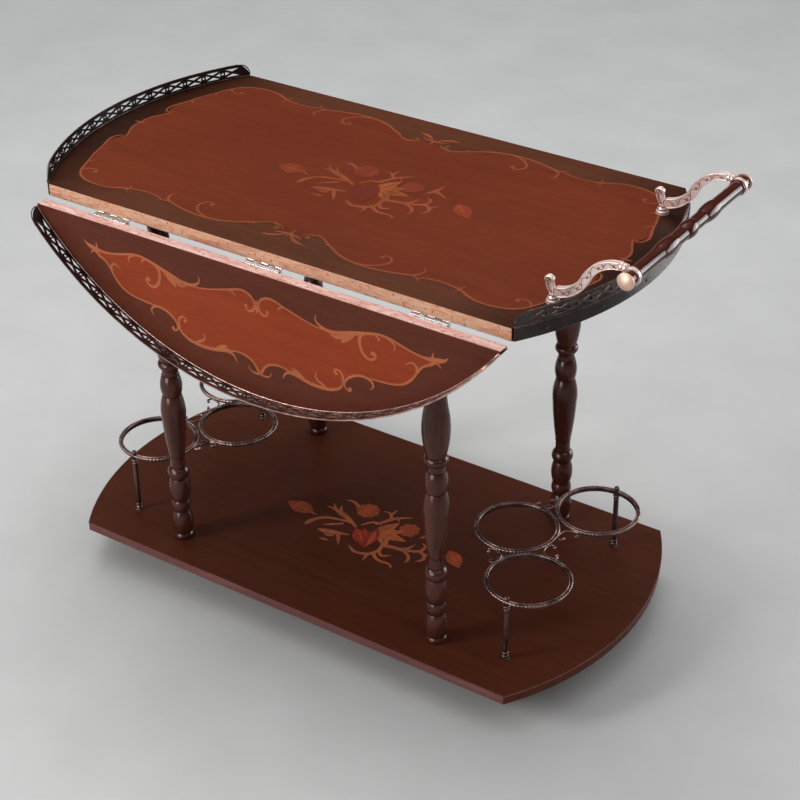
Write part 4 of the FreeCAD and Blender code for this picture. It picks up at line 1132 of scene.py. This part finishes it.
def bracket_trim(side, way):
    y = way * bracket_y
    head = Vector((-scroll_back, scroll_height))
    wire_out = scroll_wire - bead_sunk
    bead_steps = 40
    curl_steps = 24
    nose_steps = 10
    stem_steps = 8
    band_steps = 22
    band_plain = 9  # steps of the band before it curls inward

    def curled(reach, degrees, out):
        turn = radians(degrees)
        return at(bracket_x + head.x + reach * cos(turn), y + out, panel_top + head.y + reach * sin(turn))

    beads = Form()
    lines = Form()
    for face in (-1, 1):
        arm = Arm(way, face)
        first = arm.length * arm_start_share
        bead_run = arm.length - arm_bead_stop - first
        spots = [first + bead_run * i / bead_steps for i in range(bead_steps + 1)]
        for edge in (-arm_edge, arm_edge):
            tube(beads, [arm.spot(s, edge, -bead_sunk) for s in spots], arm_bead, Y_WAY)
        for drawn in running_scroll(arm, first + engraving_start, arm.length - engraving_stop):
            tube(lines, [arm.spot(s, t, -line_sunk) for s, t in drawn], engraved_line, Y_WAY, thin_sides)
        nose = [arm.spot(first - nose_length * cos(a), nose_height * sin(a), -line_sunk)
                for a in (pi * (i / nose_steps - 0.5) for i in range(nose_steps + 1))]
        tube(lines, nose, nose_line, Y_WAY, thin_sides)
        curl = []
        for i in range(stem_steps):
            x = bracket_x - stem_in - stem_sweep * sin(pi / 2 * i / stem_steps)
            curl.append(at(x, y + face * wire_out, panel_top + stem_low + stem_rise * i / stem_steps))
        for i in range(curl_steps + 1):
            reach = scroll_radius + curl_out - curl_close * i / curl_steps
            curl.append(curled(reach, curl_start - curl_turn * i, face * wire_out))
        tube(lines, curl, curl_line, Y_WAY, thin_sides)
        band = []
        for i in range(band_steps + 1):
            reach = scroll_radius + band_out - band_close * max(0, i - band_plain) / (band_steps - band_plain)
            band.append(curled(reach, band_start - curl_turn * i, face * band_side))
        tube(beads, band, band_bead, Y_WAY)
    for shift in (-1, 1):
        middle = at(rod_x, y + shift * (socket_length / 2 - socket_inset), rod_z)
        path = circle(middle, socket_radius - socket_inset, 48, X_WAY, Z_WAY)
        tube(beads, path, socket_bead, Y_WAY, closed=True)
    for share, level, width in foot_lines:
        spot = at(bracket_x, y, panel_top + level)
        hoop(lines, spot, foot_radius * share, width, count=36, sides=thin_sides)
    beads.make("bracket_beads_" + side, "bracket_metal", "bracket_metal")
    lines.make("bracket_engraving_" + side, "engraved", "bracket_metal")


def camera():
    # Where the eye stands and looks, in metres and radians
    eye_place = (1.2112, -1.7450, 1.5990)
    yaw, pitch, roll = 0.5973, 0.5563, 0.0126
    data = bpy.data.cameras.new("camera")
    data.lens = 86.34
    data.sensor_width = 36.0
    stand = Matrix.Translation(eye_place)
    for turn, axis in ((yaw, "Z"), (pi / 2 - pitch, "X"), (-roll, "Z")):
        stand = stand @ Matrix.Rotation(turn, 4, axis)
    eye = shown("camera", data)
    eye.matrix_world = stand
    bpy.context.scene.camera = eye


def soft_light(name, place, aim, size, power):
    # A round lamp, in metres and watts; a card is a pale sheet that only shows as gloss
    data = bpy.data.lights.new(name, "AREA")
    data.shape = "DISK"
    data.size = size
    data.energy = power
    lamp = shown(name, data)
    lamp.location = place
    lamp.rotation_euler = (Vector(aim) - Vector(place)).to_track_quat("-Z", "Y").to_euler()
    lamp.visible_camera = False
    lamp.visible_diffuse = not name.endswith("_card")


def soft_sky():
    # Even light from above that falls off towards the horizon
    world = bpy.data.worlds.new("studio")
    s = Shader(world, "Background", "Generated")
    s.set(Color=s.ramp(s.along("Z"), [(0.5, (0.07, 0.07, 0.075, 1)), (0.95, (0.86, 0.87, 0.90, 1))]))
    bpy.context.scene.world = world


def studio():
    soft_light("overhead", (-0.5, 0.5, 2.7), (0, 0, 0.4), 2.2, 24)
    soft_light("key", (2.2, -0.6, 2.0), (0, 0, 0.4), 1.4, 6)
    soft_light("side", (-1.7, -2.3, 1.7), (0, 0, 0.4), 0.9, 32)
    soft_light("window", (1.9, 2.6, 0.6), (0.3, 0, 0.5), 1.1, 8)
    soft_light("front_card", (-0.6, -3.2, 0.95), (0, 0, 0.4), 2.2, 105)
    soft_light("back_card", (2.2, 2.9, 0.7), (0.4, 0, 0.6), 2.6, 95)
    soft_sky()
    s = shader("studio_floor")
    s.set(Specular_IOR_Level=0.0, Roughness=0.9)
    cloud = s.noise(s.place, 6.0, 4.0)
    s.set(Base_Color=s.ramp(cloud, [(0.3, srgb(214, 214, 212)), (0.7, srgb(222, 222, 220))]))
    far = 40.0
    mesh = bpy.data.meshes.new("floor")
    mesh.from_pydata([(-far, -far, 0), (far, -far, 0), (far, far, 0), (-far, far, 0)], [], [(0, 1, 2, 3)])
    mesh.materials.append(s.material)
    floor = shown("floor", mesh)


dress_nodes()
top_inlay()
for side, way in FRONT_REAR:
    leaf_inlay(side, way)
bouquet("top_bouquet", 8, -2, panel_top, "top_panel_veneer", swell=1.4, soft="_soft")
# The shelf's spray uses the woods painted brighter against the shade under the top
bouquet("shelf_bouquet", 3, -10, shelf_top, "shelf_veneer", swell=1.5, soft="")
raw_edges()
shelf_arris()
galleries()
ring_trim()
ring_scrolls()
post_beads()
groove_shade_lines()
for side, way in FRONT_REAR:
    bracket_trim(side, way)
camera()
studio()
bpy.context.scene.view_settings.view_transform = "Standard"
